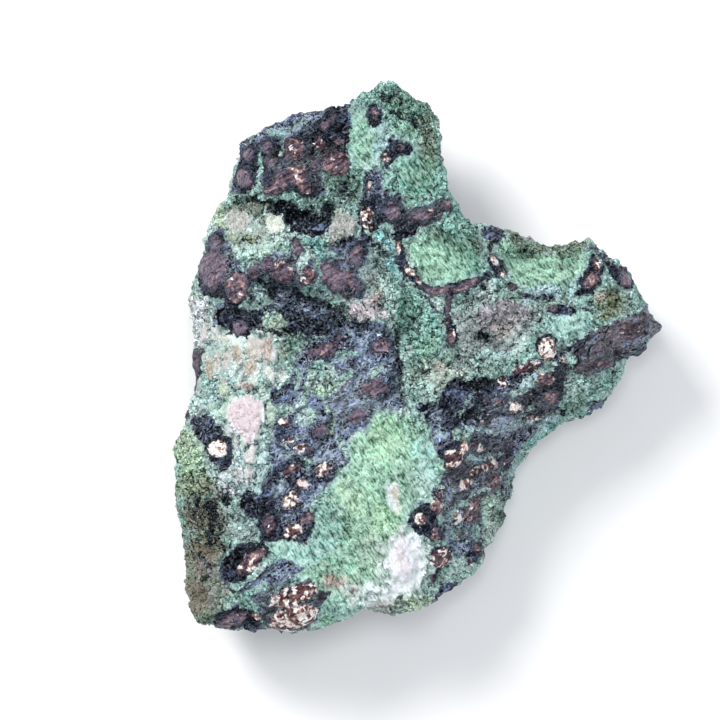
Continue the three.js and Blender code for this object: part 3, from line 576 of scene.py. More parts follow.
# Patches of those colours, painted in this order: shade, strength, region.
groundPatches = [
    # left side
    ("pale mint", 0.8, field((-32, 5), (-20, 4), (-19, -6), (-21, -13), (-24, -19), (-31, -18),
        (-34, -12))),
    ("cream", 0.7, oval(-24.5, 0.5, 7, 5)), ("cream", 0.6, oval(-23.5, -16, 5, 4)),
    ("mint", 0.7, oval(-28.4, -5.2, 3, 4)), ("beige", 0.5, oval(-20.6, -10, 2, 3.6)),
    ("pale blue", 0.6, oval(-21.8, -14.8, 2.6, 7, -10)), ("pale blue", 0.5, oval(-25, -18, 4, 3)),
    ("pale mint", 0.6, oval(-25.4, -14, 4.4, 11, -8)),
    ("pale blue", 0.5, oval(-25.6, -15, 3.6, 9, -8)),
    ("white", 0.65, oval(-25.4, -14.6, 4, 10, -8)), ("pink", 0.3, oval(-24.5, 0.5, 8, 6)),
    ("pale blue", 0.6, oval(-28.6, -5.8, 3, 2)), ("straw", 0.9, oval(-32, -13, 4.4, 6)),
    ("lime", 0.5, oval(-31.6, -15.6, 4, 4)), ("moss", 0.7, oval(-31.4, -18.2, 6, 4)),
    ("umber", 0.85, oval(-30.4, -22.4, 6, 4.6, -20)), ("lilac", 0.5, oval(-27, -19.6, 2.4, 2)),
    ("grey", 0.5, oval(-28, -21, 3, 5)), ("moss", 0.5, oval(-29.8, -31.6, 7, 14)),
    ("rock", 0.7, oval(-30, -28, 4, 5)), ("grey", 0.9, oval(-24.8, -23.4, 4.6, 4.4)),
    ("mint", 0.4, oval(-24.6, -23.2, 3.6, 3.4)), ("lilac", 0.8, oval(-29.4, -29.6, 2.4, 3.4, 20)),
    ("rock", 0.8, oval(-31, -34, 3, 6)), ("grey", 0.6, oval(-28.4, -33.4, 2, 4)),
    ("umber", 0.7, oval(-28.4, -26.8, 3.4, 2)), ("lilac", 0.6, oval(-26.9, -31.8, 2, 1.8)),
    ("dark leaf", 0.6, oval(-30.6, -37, 3, 2.4)), ("umber", 0.4, oval(-29.8, -27, 7, 18)),
    # bloom that shows through the ore above the big field
    ("pale mint", 0.85, oval(-12.8, -3.8, 6, 3.4, 15)), ("lime", 0.6, oval(-13.6, -4.6, 3, 1.6)),
    ("pale mint", 0.7, oval(-8, -1.8, 6, 1.6, 10)),
    ("pale mint", 0.7, oval(-15.4, -8.4, 5, 3.4, 30)),
    ("moss", 0.7, oval(-11.8, -9.4, 1.6, 4, -10)),
    # big field of bloom in the lower middle
    ("apple", 1.0, field((-5, -6.7), (-3, -8.1), (0, -8.5), (2.1, -12.3), (3.6, -15.7), (1.6, -20),
        (-1.2, -22), (1.3, -27), (1.6, -32.5), (-4.5, -35), (-10.5, -37.8), (-14, -38.3),
        (-12.8, -34.5), (-15, -31.2), (-17.5, -30.3), (-20.8, -26.8), (-16, -26.2), (-14.2, -23.1),
        (-12.2, -17.3), (-9.5, -13.1), (-6.5, -8.5))),
    ("mint", 0.75, oval(-15.5, -27.4, 9, 4.4, 20)), ("mint", 0.55, oval(-9.5, -36, 9, 3.4, -10)),
    ("mint", 0.5, oval(1.2, -14, 3, 9, 15)), ("pale mint", 0.6, oval(0.8, -18, 3, 6)),
    ("light apple", 0.7, oval(-5, -13, 8, 8)), ("light apple", 0.7, oval(-8, -21, 7, 9, 15)),
    ("leaf", 0.45, oval(-10.5, -24, 4, 7, 25)), ("leaf", 0.4, oval(-3.6, -17.4, 4, 3)),
    ("cream", 0.5, oval(-6.5, -27.5, 4, 6, 10)), ("straw", 0.4, oval(-9.4, -19.6, 3, 5, 25)),
    ("apple", 0.5, oval(-8, -29.5, 8, 8)), ("mint", 0.5, oval(-12.6, -24, 4, 8, -15)),
    ("lime", 0.6, oval(-4.6, -22.6, 5, 5, 30)), ("lime", 0.5, oval(-4.4, -11.4, 5, 6)),
    ("pale mint", 0.7, oval(-6.4, -33.6, 6, 4, 15)), ("mint", 0.6, oval(0.6, -13.4, 3, 5, 20)),
    ("white", 0.35, oval(-1.8, -29, 8.4, 12, -8)),
    ("white", 0.6, powder),
    ("white", 0.9, oval(-1.8, -28.8, 4.4, 9, -8)), ("pink", 0.6, oval(-1.9, -27.9, 1.8, 3)),
    ("white", 0.85, whiteChip), ("buff", 1.0, oval(-2.8, -19.8, 0.6, 1.6)),
    ("beige", 0.95, oval(-11.5, -31.5, 2.8, 3, -30)),
    ("beige", 0.95, oval(-8.9, -32.6, 2.2, 3, -20)), ("pale mint", 0.6, oval(-7.8, -33.4, 6, 4)),
    ("white", 0.4, oval(-5.8, -33.8, 4, 3)),
    ("pink", 0.5, vein(0.5, (-2.4, -25), (-2.6, -28), (-1.8, -30.6))),
    ("beige", 0.6, oval(-4.6, -35.4, 3.4, 1.6)), ("straw", 0.85, oval(0.2, -34.5, 4, 1.8)),
    ("beige", 0.5, oval(2.4, -34.9, 2, 1.2)),
    # round scoop, scoop behind the arm, top lobe
    ("sea", 0.9, oval(4.6, 14, 11.5, 8.6, -15)), ("apple", 0.85, oval(2.8, 13.6, 9, 6.6, -25)),
    ("light apple", 0.6, oval(1.4, 13.9, 6, 5, -25)), ("grey", 0.55, oval(8.6, 16, 3, 3.4)),
    # the round scoop is painted darker along its upper rim and its upper right side: painted shade in
    # the hollow
    ("dark leaf", 0.8, vein(1.3, (0.8, 18.2), (3.4, 17), (6.2, 15.4))),
    ("leaf", 0.6, oval(7.4, 15, 4, 6, 25)), ("dark leaf", 0.6, oval(8.8, 15.6, 3, 4.4, 20)),
    ("apple", 1.0, field((11.2, 15.5), (12, 16.8), (15, 16), (19, 14.3), (21, 15.2), (24.3, 15.4),
        (23, 11.9), (21.5, 10.7), (19, 10.1), (14.2, 9.5), (13.4, 10.8), (11.9, 13))),
    ("olive", 0.7, vein(1.6, (13, 17.3), (17, 15.2), (20.6, 15.6), (24, 16))),
    ("dark leaf", 0.85, oval(15.4, 14.3, 2, 1.5, 30)),
    ("leaf", 0.5, vein(0.8, (14, 12), (18, 12.4), (22, 13.6))),
    ("light apple", 0.5, oval(18.5, 12, 6, 2)),
    ("grey", 0.95, field((5.2, 8.2), (9, 8.6), (14, 7.6), (18, 7), (17.4, 4), (16, 2.6), (12, -2),
        (5, -2.4), (5.6, 3))),
    ("lilac", 0.8, oval(12.5, 6, 6, 4)), ("pale blue", 1.0, oval(17.2, 8.9, 5, 1.8, 5)),
    ("dark grey", 0.6, oval(9, 2.5, 4, 3)), ("lilac", 0.7, oval(10, 5, 3.4, 3)),
    ("dark grey", 0.4, oval(8.5, 4.8, 3.4, 1.8)), ("mint", 0.6, oval(10.5, -0.8, 8, 3)),
    ("mint", 0.5, oval(6.4, 7.4, 3, 2)), ("pale mint", 0.6, oval(14.5, 2.6, 3, 4)),
    ("beige", 0.5, oval(12.2, 3.8, 3, 2)), ("mint", 0.85, oval(21, 4.2, 9, 4.6, 10)),
    ("light apple", 0.4, oval(22, 5, 5, 2, 20)), ("moss", 0.8, oval(27.2, 7.6, 5, 4.6, 20)),
    ("olive", 0.6, oval(27.6, 7.2, 3, 1.6, 40)), ("beige", 0.7, oval(25.6, 9, 2.2, 2)),
    ("grey", 0.5, oval(29.6, 7.3, 3, 1.6, 30)), ("leaf", 0.3, oval(24.4, -5.2, 9, 7, 15)),
    ("mint", 0.75, oval(25.4, -3.8, 5, 3, 20)), ("pale mint", 0.5, oval(22.4, -4.4, 2, 3)),
    ("sea", 0.9, field((-3.5, 9.8), (-0.5, 9.8), (1.8, 7.5), (3.3, 3.2), (2.7, -0.5), (1.2, -2.4),
        (-2.3, 3), (-3, 7.5))),
    ("apple", 0.6, oval(1.4, 1.4, 2.6, 4)), ("leaf", 0.5, oval(-1.4, 6.4, 2.4, 4)),
    ("mint", 0.5, oval(0.4, 5, 2, 4)), ("cream", 0.55, oval(2.4, -3, 8, 5)),
    ("mint", 0.5, oval(0.6, -4.4, 3, 3)), ("leaf", 0.4, oval(-0.6, -1, 2, 2)),
    ("beige", 0.5, oval(2.8, -1.4, 1.6, 1.4)),
    ("sea", 0.8, field((-9.5, 36), (-9, 26), (-7, 22.6), (3, 22.6), (3, 32), (1, 36.4),
        (-4, 38.8))),
    ("apple", 0.85, oval(-7.4, 30.6, 4.4, 9, 5)), ("pale blue", 0.85, oval(-4.9, 30.6, 1.7, 6)),
    ("pale mint", 0.5, oval(-6.4, 26.6, 2.4, 2)), ("apple", 0.7, oval(-0.8, 32, 4, 3)),
    ("olive", 0.7, oval(1.6, 30, 2.6, 9)), ("leaf", 0.6, oval(0.4, 25.6, 4.6, 5)),
    ("light apple", 0.4, oval(-1.6, 26, 3, 2)), ("dark leaf", 0.7, oval(-10, 23.6, 4.6, 3.4, -20)),
    ("leaf", 0.6, oval(-12, 24.6, 3, 3)), ("leaf", 0.6, oval(-1.6, 36, 4.6, 2.6)),
    ("sea", 0.6, oval(-4.6, 38, 2.6, 1.6)), ("slate", 0.5, oval(-8, 35.3, 2.6, 1.4)),
    ("dark leaf", 0.5, oval(1.4, 34, 2.4, 3)),
    ("turquoise", 0.95, field((-6.9, 17.5), (-5.5, 18.1), (-4, 16), (-3, 13.6), (-1.8, 11),
        (-2.9, 11), (-4, 12), (-5.6, 16.2))),
    ("pale blue", 0.4, oval(-4.5, 14.6, 2, 4, -20)), ("slate", 0.5, oval(-7, 12, 4, 7, -20)),
    ("dark leaf", 0.6, oval(-5.4, 12.8, 2, 4, 15)), ("olive", 0.5, oval(-6.4, 10.4, 2, 2.4)),
    ("pale mint", 0.7, oval(-4.4, 9.6, 2.4, 3)), ("lilac", 0.6, oval(-9.4, 6.4, 3, 2.4)),
    ("mint", 0.6, oval(-4, 25.6, 3, 1.4)),
    ("turquoise", 0.75, field((-15.8, 16.8), (-14.7, 17.3), (-13.5, 16.5), (-12.5, 14.4),
        (-13.3, 13.8), (-15.9, 15.3))),
    ("pale mint", 0.75, oval(-23.6, 17.6, 12, 8)), ("light apple", 0.3, oval(-21.6, 14.8, 7, 2.2)),
    ("pale blue", 0.9, oval(-18.2, 32.2, 5, 2.4, 15)), ("pale mint", 0.6, oval(-22.3, 18.6, 2, 3)),
    ("olive", 0.5, oval(-24, 16.9, 5, 0.9)),
    ("moss", 0.6, vein(0.7, (-27.6, 19.6), (-26.8, 16.8), (-23, 16.6))),
    ("beige", 0.7, rightCrystal), ("crystal", 0.5, oval(-10.4, 19, 2, 2.6)),
    ("olive", 0.75, oval(-24.4, 20.9, 6, 1.5)), ("straw", 0.6, oval(-28.2, 20.4, 2, 3)),
    ("leaf", 0.5, oval(-14.5, 21.2, 5, 1.6, -15)), ("olive", 0.5, oval(-21.9, 17.4, 0.8, 3)),
    ("leaf", 0.5, oval(-15.8, 18.3, 3, 1)), ("olive", 0.45, oval(-23.8, 16, 4, 0.8)),
    ("straw", 0.45, oval(-20.4, 5, 5, 3.4)), ("moss", 0.8, oval(-18.6, 4.4, 3, 2.2)),
    ("lilac", 0.9, field((-9.8, 7.9), (-8.3, 7.8), (-7, 9), (-5, 8.3), (-4.4, 7), (-4.8, 5.6),
        (-8, 4.9), (-9.5, 6))),
    ("pink", 0.6, oval(-7.6, 6, 4, 1.6, -10)), ("beige", 0.6, oval(-5.6, 8.2, 1.8, 1.6)),
    ("pale blue", 0.6, oval(-13.8, 8.6, 2, 3, -20)), ("cream", 0.7, oval(-31, 6.4, 2.4, 6)),
    # the white at the far left edge is partly painted light, brightening the slope that falls away
    # there
    ("pale mint", 0.7, oval(-29, 5.6, 4, 5)), ("white", 0.85, oval(-30.8, 5, 3.4, 7)),
    # lower right
    ("pale blue", 0.9, vein(1.8, (6.8, -10.2), (10.2, -10.4), (13.2, -9.9), (17.2, -9.1),
        (19.4, -8.2))),
    ("pale blue", 0.9, vein(1.8, (7.4, -14.4), (10.4, -14.1), (12.1, -13.6))),
    ("pale blue", 0.7, vein(1.4, (4.3, -22.8), (6.5, -20.3), (10.2, -18.3), (13.2, -16.1))),
    ("turquoise", 0.4, field((19.9, -8.8), (19.5, -10.5), (16, -13.2), (15, -12.5), (17.5, -10))),
    ("pale blue", 0.7, oval(15.8, -3.4, 6, 1.6, 35)), ("mint", 0.75, oval(7, -25.5, 6, 12)),
    ("pale mint", 0.7, oval(7, -30, 5, 4)), ("cream", 0.6, oval(10.6, -23, 2.6, 8)),
    ("light apple", 0.6, oval(9.6, -21.4, 2.4, 4)), ("slate", 0.8, oval(12.7, -18.4, 1.6, 5)),
    ("dark leaf", 0.7, oval(12.4, -22.4, 2, 4)), ("leaf", 0.8, oval(6.3, -10.8, 2.2, 1.2)),
    ("pale blue", 0.5, oval(10.5, -13.8, 5, 1.4)), ("dark leaf", 0.4, oval(8.4, -27.6, 2, 1.4)),
]

# Ore that is brown and silky rather than blue-black.
rustRegions = [
    oval(28.6, 3, 13, 4.6, 33), armRoot, oval(14, -8.6, 12, 7, 28),
    oval(8, -18, 8, 12, -15), oval(-28.2, 12.4, 4, 6), oval(-10.6, 10.9, 6, 4, -32),
    oval(-16.5, 27, 9, 6), oval(-8.5, -5.6, 8, 7, 20), oval(-17.6, -35, 9, 7), oval(1, 20, 8, 2.4),
    oval(-31, -0.8, 2, 5), oval(-17.6, 12.6, 5, 4),
]

# The arm is ore right down its side, and silkiest on top. Its tip is drawn out to the right.
armEnd = oval(31, 3.4, 9, 8, 33)
armTip = oval(34.4, 3.9, 3.4, 3)
silkRegions = [oval(30.8, 4.4, 8, 5, 33), oval(32.8, 4.4, 4, 4), armRoot]

# Ore that is dusted with pale blue-grey; elsewhere it is nearly black.
frostRegions = [
    field((-18, 1), (-12, 4), (-4, 5), (-2, -7), (-9, -12), (-14, -20), (-17, -25), (-19, -24),
        (-20, -18), (-21, -12)),
    vein(1.8, (-24.5, 30.6), (-20, 31.8), (-15, 34)), oval(-17, 12.6, 24, 6), oval(-5, 24.6, 4, 4),
    vein(1.4, (-20.6, 8.2), (-15, 6.6), (-9.6, 4.4)), oval(-19, -31, 8, 4, 30),
    oval(2.6, -10.5, 3, 5, -20), oval(14.6, -3.4, 9, 2.4, 35), oval(6, -25, 5, 10),
    oval(13, -9.6, 8, 2, 25), oval(10, -17.4, 7, 2, 30), oval(4, -20, 3, 4),
]

# The slope where the streaks run down to the right instead.
streakySlope = field((-24, 8), (-18, 10), (-13, 8.6), (-8.6, 5.4), (-7.5, 3.6), (-12, 2.4),
    (-19.5, 3), (-24, 4.6))

# Bloom that is fine and even; the rest is clumped and cracked.
evenRegions = [
    field((-5, -6.7), (2.1, -12.3), (3.6, -15.7), (1.6, -20), (-1.2, -22), (1.3, -27), (1.6, -32.5),
        (-4.5, -35), (-10.5, -37.8), (-14, -38.3), (-12.8, -34.5), (-17.5, -30.3), (-20.8, -26.8),
        (-14.2, -23.1), (-12.2, -17.3), (-6.5, -8.5)),
    oval(4.2, 13.8, 9.4, 6.8, -15),
    field((12, 14), (19, 13.6), (24, 14.8), (22, 10.6), (14.2, 9.8)), oval(-24.3, -8.4, 3.8, 6.4),
    oval(-24.5, 0.5, 9, 7), oval(-7.4, 30.6, 4.4, 8), oval(-20, 18.4, 2, 3.6, 10),
    leftCrystal, oval(0, 26, 5, 6), oval(21.5, 4.6, 6, 3, 10),
]

skin = {
    "faceTurn": 0.25,  # facets whose normal rises above this are the rich face
    "backTurn": -0.6,  # and below this, the back
    "weld": 0.001,
    "smoothingPasses": 5,
    "smoothing": 0.5,
    "seenFrom": -0.12,  # the upright part of a normal at which the face's minerals start
    "seenFully": 0.14,
    "beddingTurn": 28,  # the ore's streaks run up to the right at this angle
}

# The ore on the sides and the back, where no region is laid out.
sides = {
    "bandSteepness": 5,
    "coreSpacing": 4.6,
    "coreSeed": 3,
    "coreReach": 0.30,  # in shares of the spacing
    "coreCover": 0.7,  # how deep in the ore a core lies
    "shine": 0.25,
    "rust": 0.35,
    "frost": 0.45,
}

# Where a border between minerals starts and where it ends, as depths in millimetres.
borders = {
    "ore": (-0.3, 0.4),
    "core": (-0.25, 0.35),
    "coreRim": (-1.5, -0.9),
    "pit": (-0.45, 0.45),
    "slope": (-0.5, 0.8),
    "rust": (-1.5, 1.5),
    "silk": (-1.0, 0.5),
    "frost": (-1.5, 1.0),
    "even": (-0.8, 0.6),
    "calm": (-0.5, 0.7),
    "grainy": (-1.0, 1.0),
    "facet": (-0.12, 0.12),
    "patch": (-0.55, 0.55),
    "crystal": (-0.3, 0.8),
    "armTip": (-0.4, 1.2),
}

# A noise is moved by its seed times a step, so that noises of like size differ.
noiseStep = (17.3, -9.1, 4.7)
cellStep = (3.1, 12.7, -6.3)
cellNumber = {"weights": (12.99, 78.23, 37.72), "spread": 4375.85}  # makes it from a cell's middle


def eased(values, low, high):
    share = np.clip((values - low) / (high - low), 0, 1)
    return share * share * (3 - 2 * share)


# soft noise about 0, mostly within 0.5 of it, with lumps of a size in millimetres
def ripple(points, size, seed):
    shift = np.array(noiseStep) * seed
    return np.array([noise.noise(point) for point in points / size + shift])


# scattered cells: how far the nearest and the next seed are, in shares of the spacing, and a
# number from 0 to 1 for each cell
def pebbles(points, size, seed):
    shift = np.array(cellStep) * seed
    found = [noise.voronoi(point) for point in points / size + shift]
    nearest, following = (np.array([distances[rank] for distances, _ in found]) for rank in (0, 1))
    middles = np.array([seeds[0][:] for _, seeds in found])
    return nearest, following, (np.sin(middles @ cellNumber["weights"]) * cellNumber["spread"]) % 1


def subdivideWhere(rock, wanted, cuts):
    edges = {edge for face in rock.faces if wanted(face.normal.z) for edge in face.edges}
    ordered = sorted(edges, key=lambda edge: edge.index)
    bmesh.ops.subdivide_edges(rock, edges=ordered, cuts=cuts, use_grid_fill=True)
    rock.edges.index_update()
    rock.normal_update()


def fineSkin():
    rock = bmesh.new()
    rock.from_mesh(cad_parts["nickeline_specimen"].data)
    bmesh.ops.remove_doubles(rock, verts=rock.verts, dist=skin["weld"] * millimetre)
    rock.edges.index_update()
    rock.normal_update()
    face, back = skin["faceTurn"], skin["backTurn"]
    subdivideWhere(rock, lambda up: up > face, 2)
    subdivideWhere(rock, lambda up: back < up <= face, 1)
    subdivideWhere(rock, lambda up: up > back, 1)
    subdivideWhere(rock, lambda up: up <= back, 1)
    axes = {"use_axis_x": True, "use_axis_y": True, "use_axis_z": True}
    for _ in range(skin["smoothingPasses"]):
        bmesh.ops.smooth_vert(rock, verts=rock.verts, factor=skin["smoothing"], **axes)
    bmesh.ops.triangulate(rock, faces=rock.faces)
    mesh = bpy.data.meshes.new("nickeline_slab")
    rock.to_mesh(mesh)
    rock.free()
    return mesh


def readVectors(items, key):
    flat = np.zeros(len(items) * 3, np.float32)
    items.foreach_get(key, flat)
    return flat.reshape(-1, 3).astype(float)


def writeAttribute(mesh, name, values):
    values = np.asarray(values, np.float32)
    if values.ndim == 1:
        mesh.attributes.new(name, "FLOAT", "POINT").data.foreach_set("value", values)
        return
    colours = np.ones((len(values), 4), np.float32)
    colours[:, :3] = values
    mesh.attributes.new(name, "FLOAT_COLOR", "POINT").data.foreach_set("color", colours.ravel())


rockMesh = fineSkin()
place = readVectors(rockMesh.vertices, "co") / millimetre
normal = readVectors(rockMesh.vertex_normals, "vector")
seen = eased(normal[:, 2], skin["seenFrom"], skin["seenFully"])
print("skin of", len(rockMesh.polygons), "triangles")

# The regions are laid on a ruffled plan, so that no border is a straight line.
ruffling = {
    "size": 2.3,
    "reach": 0.55,
    "fineSize": 0.9,
    "fineReach": 0.35,
    "coreShare": 0.4,  # the cores' plan is ruffled only this much
    "facetShare": 0.45,
}


def ruffleOf(seed):
    coarse = ruffling["reach"] * ripple(place, ruffling["size"], seed)
    return coarse + ruffling["fineReach"] * ripple(place, ruffling["fineSize"], seed + 2)


ruffle = np.stack((ruffleOf(1), ruffleOf(2)), axis=1)
plan = place[:, :2] + ruffle
corePlan = place[:, :2] + ruffle * ruffling["coreShare"]
facetPlan = place[:, :2] + ruffling["facetShare"] * ruffle


# how fully the regions cover each place, from 0 to 1
def cover(regions, border):
    return eased(deepest(regions, plan), *borders[border])


# one value on the seen face and another on the sides and the back
def whereSeen(visible, hidden):
    return hidden + (visible - hidden) * seen


turn = math.radians(skin["beddingTurn"])
slope = cover([streakySlope], "slope") * seen
along, across = turned(place, turn)
alongSlope, acrossSlope = turned(place, -turn)
along, across = along + (alongSlope - along) * slope, across + (acrossSlope - across) * slope


# the places measured along and across the bedding, so that noise comes out longer along it
def bedded(stretch, uprightScale):
    return np.stack((along / stretch, across, place[:, 2] * uprightScale), axis=1)


# The size in millimetres and the seed of each noise and of each set of cells.
textures = {
    "broad": (7, 9),
    "middling": (2.6, 9),
    "small": (1.1, 9),
    "tiny": (0.6, 9),
    "streak": (0.9, 7),
    "fold": (2.6, 5),
    "fineFold": (1.2, 6),
    "clump": (2.0, 21),
    "fineClump": (1.0, 22),
    "leafPatch": (4, 12),
    "matrixPatch": (9, 14),
    "band": (7, 4),
    "grain": (1.9, 2),
    "hackle": (4.2, 8),
}
fineShare = 0.4  # how strongly a fine noise is added to its coarse one
beds = {"streak": (5, 0.5), "fold": (1.5, 1), "band": (2.4, 0.8)}  # stretch, upright scale
cellStretch = {"grain": (1, 1.9, 1.4), "hackle": (1.5, 1.5, 1)}

broad, middling, small, tiny = (
    ripple(place, *textures[name]) for name in ("broad", "middling", "small", "tiny"))
streaks = ripple(bedded(*beds["streak"]), *textures["streak"])
fold = ripple(bedded(*beds["fold"]), *textures["fold"])
fold = fold + fineShare * ripple(bedded(*beds["fold"]), *textures["fineFold"])
clump = ripple(place, *textures["clump"])
clump = clump + fineShare * ripple(place, *textures["fineClump"])
grainMiddle, grainNext, grainNumber = pebbles(place / cellStretch["grain"], *textures["grain"])
grainGap = grainNext - grainMiddle

# on the sides and the back, bands of ore follow the bedding through the rock
bands = ripple(bedded(*beds["band"]), *textures["band"])
hiddenOre = (bands * 1.6 + middling * 0.5 + 0.02) * sides["bandSteepness"]
hiddenOre = np.maximum(hiddenOre, depthIn(armEnd, place[:, :2]))
coreMiddle, _, _ = pebbles(place, sides["coreSpacing"], sides["coreSeed"])
hiddenCore = (sides["coreReach"] - coreMiddle) * sides["coreSpacing"]
hiddenCore = np.minimum(hiddenCore, hiddenOre - sides["coreCover"])

visibleOre = np.minimum(deepest(oreRegions, plan), -deepest(oreGaps, plan))
ore = whereSeen(np.clip(visibleOre, -farAway, farAway), hiddenOre)
coreDepths = np.array([depthIn(region, corePlan) for region, _ in coreRegions])
coreShine = np.array([bright for _, bright in coreRegions])[coreDepths.argmax(axis=0)]
core = whereSeen(coreDepths.max(axis=0), hiddenCore)
shine = whereSeen(coreShine, sides["shine"])
pitDepths = np.array([depthIn(region, plan) for region, _ in pitRegions])
pitFloor = np.array([deep for _, deep in pitRegions])[pitDepths.argmax(axis=0)]
pit = whereSeen(pitDepths.max(axis=0), -farAway)
silk = cover(silkRegions, "silk") * seen
rust = cover(rustRegions, "rust") * seen + sides["rust"] * (1 - seen)
rust += 0.45 * silk
frost = whereSeen(cover(frostRegions, "frost"), sides["frost"])
even = cover(evenRegions, "even") * seen

# How far the fine texture is quieted, from 0 to 1.
calmness = {"patch": 0.7, "grain": 0.75, "pink": 0.9, "facet": 0.55}
calm = calmness["patch"] * cover(calmRegions, "calm") * seen
grainy = cover([grainyRegion], "grainy") * seen * (1 - calm)
grainBody = grainy * eased(grainGap, 0.06, 0.26)
calm = np.maximum(calm, calmness["grain"] * grainBody)
facetDepths = np.array([depthIn(region, facetPlan) for region, _, _ in facets])
facet = eased(facetDepths.max(axis=0), *borders["facet"]) * seen
facetCalm = np.array([calmness.get(shade, calmness["facet"]) for _, shade, _ in facets])
calm = np.maximum(calm, facetCalm[facetDepths.argmax(axis=0)] * facet)
print("minerals placed")


def evenly(colour):
    return np.tile(np.array(colour), (len(place), 1))


def blend(colours, colour, share):
    return colours + (np.asarray(colour) - colours) * share[:, None]


# the ground colour, from the broad mottle to the single patches
matrix = eased(ripple(place, *textures["matrixPatch"]), -0.15, 0.1) * (1 - seen)
leafPatches = eased(ripple(place, *textures["leafPatch"]), 0.12, 0.4)
mottle = {
    "pale mint": eased(middling, -0.1, 0.35),
    "sea": eased(broad, 0.0, 0.4) * 0.8,
    "leaf": leafPatches * 0.7,
    "rock": matrix * 0.85,
    "beige": matrix * eased(small, 0.05, 0.3) * 0.6,
}
ground = evenly(shades["mint"])
for shade, share in mottle.items():
    ground = blend(ground, shades[shade], share)
for shade, strength, region in groundPatches:
    share = eased(depthIn(region, plan) + small * 1.1 + tiny * 0.5, *borders["patch"])
    ground = blend(ground, shades[shade], share * strength * seen)
ground = blend(ground, shades["mint"], grainy * eased(grainGap, 0.2, 0.05) * 0.6)
grainTints = np.array([shades[name] for name in grainShades])
ground = blend(ground, grainTints[(grainNumber * len(grainTints)).astype(int)], grainBody * 0.5)
for (region, shade, rimShare), depth in zip(facets, facetDepths):
    ground = blend(ground, shades[shade], eased(depth, *borders["facet"]) * seen)
    ground = blend(ground, shades["white"], eased(np.abs(depth), 0.26, 0.08) * rimShare * seen)
variation = 0.3 * tiny + 0.45 * small + 0.25 * middling
ground = ground * (1 + variation * (1 - 0.8 * calm))[:, None]
print("ground coloured")

# Heights in millimetres.
relief = {
    "nodule": 2.0,
    "oreRoughness": 0.34,
    "coreRise": 0.8,
    "groove": 0.45,
    "crust": 0.45,
    "crumb": 0.34,
    "clump": 2.2,
    "grain": 0.5,
    "streak": 0.6,
    "sink": 0.25,  # the whole face is set this much lower
    "hackle": 0.9,
    "armTip": 0.9,
}

inOre = eased(ore, *borders["ore"])
inCore = eased(core, *borders["core"])
inPit = eased(pit + 1.4 * small, *borders["pit"])
rim = core + 0.5 * small  # the ore's dark rim round each core ends in a fine groove
byCore = eased(rim, *borders["coreRim"])
groove = eased(np.abs(rim + 1.1), 0.40, 0.05)
nodules = np.minimum(np.abs(fold), 0.3) - 0.15
clumps = np.minimum(np.abs(clump), 0.3) - 0.12
rise = inOre * (1 - byCore) * (1 - 0.7 * silk) * relief["nodule"] * nodules
rise += inOre * (1 - inCore) * relief["oreRoughness"] * (small + 0.7 * tiny)
rise += inOre * (1 - 0.5 * inCore) * rust * relief["streak"] * streaks
rise += inOre * (relief["coreRise"] * eased(rim, -1.2, 0.7) - relief["groove"] * groove)
rise += (1 - inOre) * (1 - 0.8 * calm) * (relief["crust"] * small + relief["crumb"] * tiny)
rise += (1 - inOre) * (1 - 0.8 * np.maximum(even, calm)) * relief["clump"] * clumps
rise += (1 - inOre) * relief["grain"] * np.maximum(grainBody, facet)
rise -= inPit * (pitFloor * 0.75 + 0.9 * small + 0.7 * tiny)
rise -= relief["sink"] * seen
onBack = eased(normal[:, 2], -0.5, -0.9)
rise *= (0.7 + 0.3 * seen) * (1 - 0.5 * onBack)

# the sides are broken in facets, with a notch between each and the next
hackled = place / cellStretch["hackle"]
hackleMiddle, hackleNext, hackleNumber = pebbles(hackled, *textures["hackle"])
hackleGap = hackleNext - hackleMiddle
hackly = (hackleNumber - 0.6) * eased(hackleGap, 0.0, 0.10) - 0.5 * eased(hackleGap, 0.08, 0.0)
aboveFoot = eased(place[:, 2], 0.5, 3)
rise += (1 - seen) * (1 - onBack) * aboveFoot * relief["hackle"] * (hackly - 0.2)

moved = place + normal * rise[:, None]
moved[:, 0] += relief["armTip"] * eased(depthIn(armTip, place[:, :2]), *borders["armTip"])
moved[:, 2] = np.maximum(moved[:, 2], 0)
rockMesh.vertices.foreach_set("co", (moved * millimetre).astype(np.float32).ravel())
written = {
    "ore": ore, "core": core, "shine": shine, "pit": pit, "rust": rust, "ground": ground,
    "frost": frost, "even": even, "streaks": streaks, "calm": calm,
    "fold": fold + (clump - fold) * (1 - inOre),
}
for name, values in written.items():
    writeAttribute(rockMesh, name, values)
rockMesh.update()
print("relief raised")

oreColours = {
    "ore": paint(34, 46, 74), "dark ore": paint(4, 8, 22), "pale ore": paint(158, 178, 224),
    "rust": paint(140, 124, 130), "silk": paint(184, 169, 178), "dust": paint(208, 224, 246),
    "halo": paint(206, 236, 236), "dull core": paint(62, 50, 61), "core": paint(164, 144, 160),
    "red core": paint(64, 24, 24), "copper": paint(230, 186, 176),
    "glint white": paint(255, 252, 250), "core line": paint(36, 22, 30), "pit": paint(3, 4, 8),
    "hollow": paint(146, 160, 172), "crumb": paint(226, 246, 234),
}
oreFinish = {
    "strandTurn": -1.03,  # the bloom's strands lean by this angle, in radians
    "strandStretch": (3.0, 1.0, 1.6),
    "beddingTurn": 0.5,
    "beddingStretch": (5.0, 1.0, 2.0),
    "bloomRoughness": 0.92,
    "oreRoughness": 0.62,
    "coreRoughness": 0.30,
    "pitRoughness": 0.8,
    "specular": 0.07,
    "bumpHeight": 0.34,
}


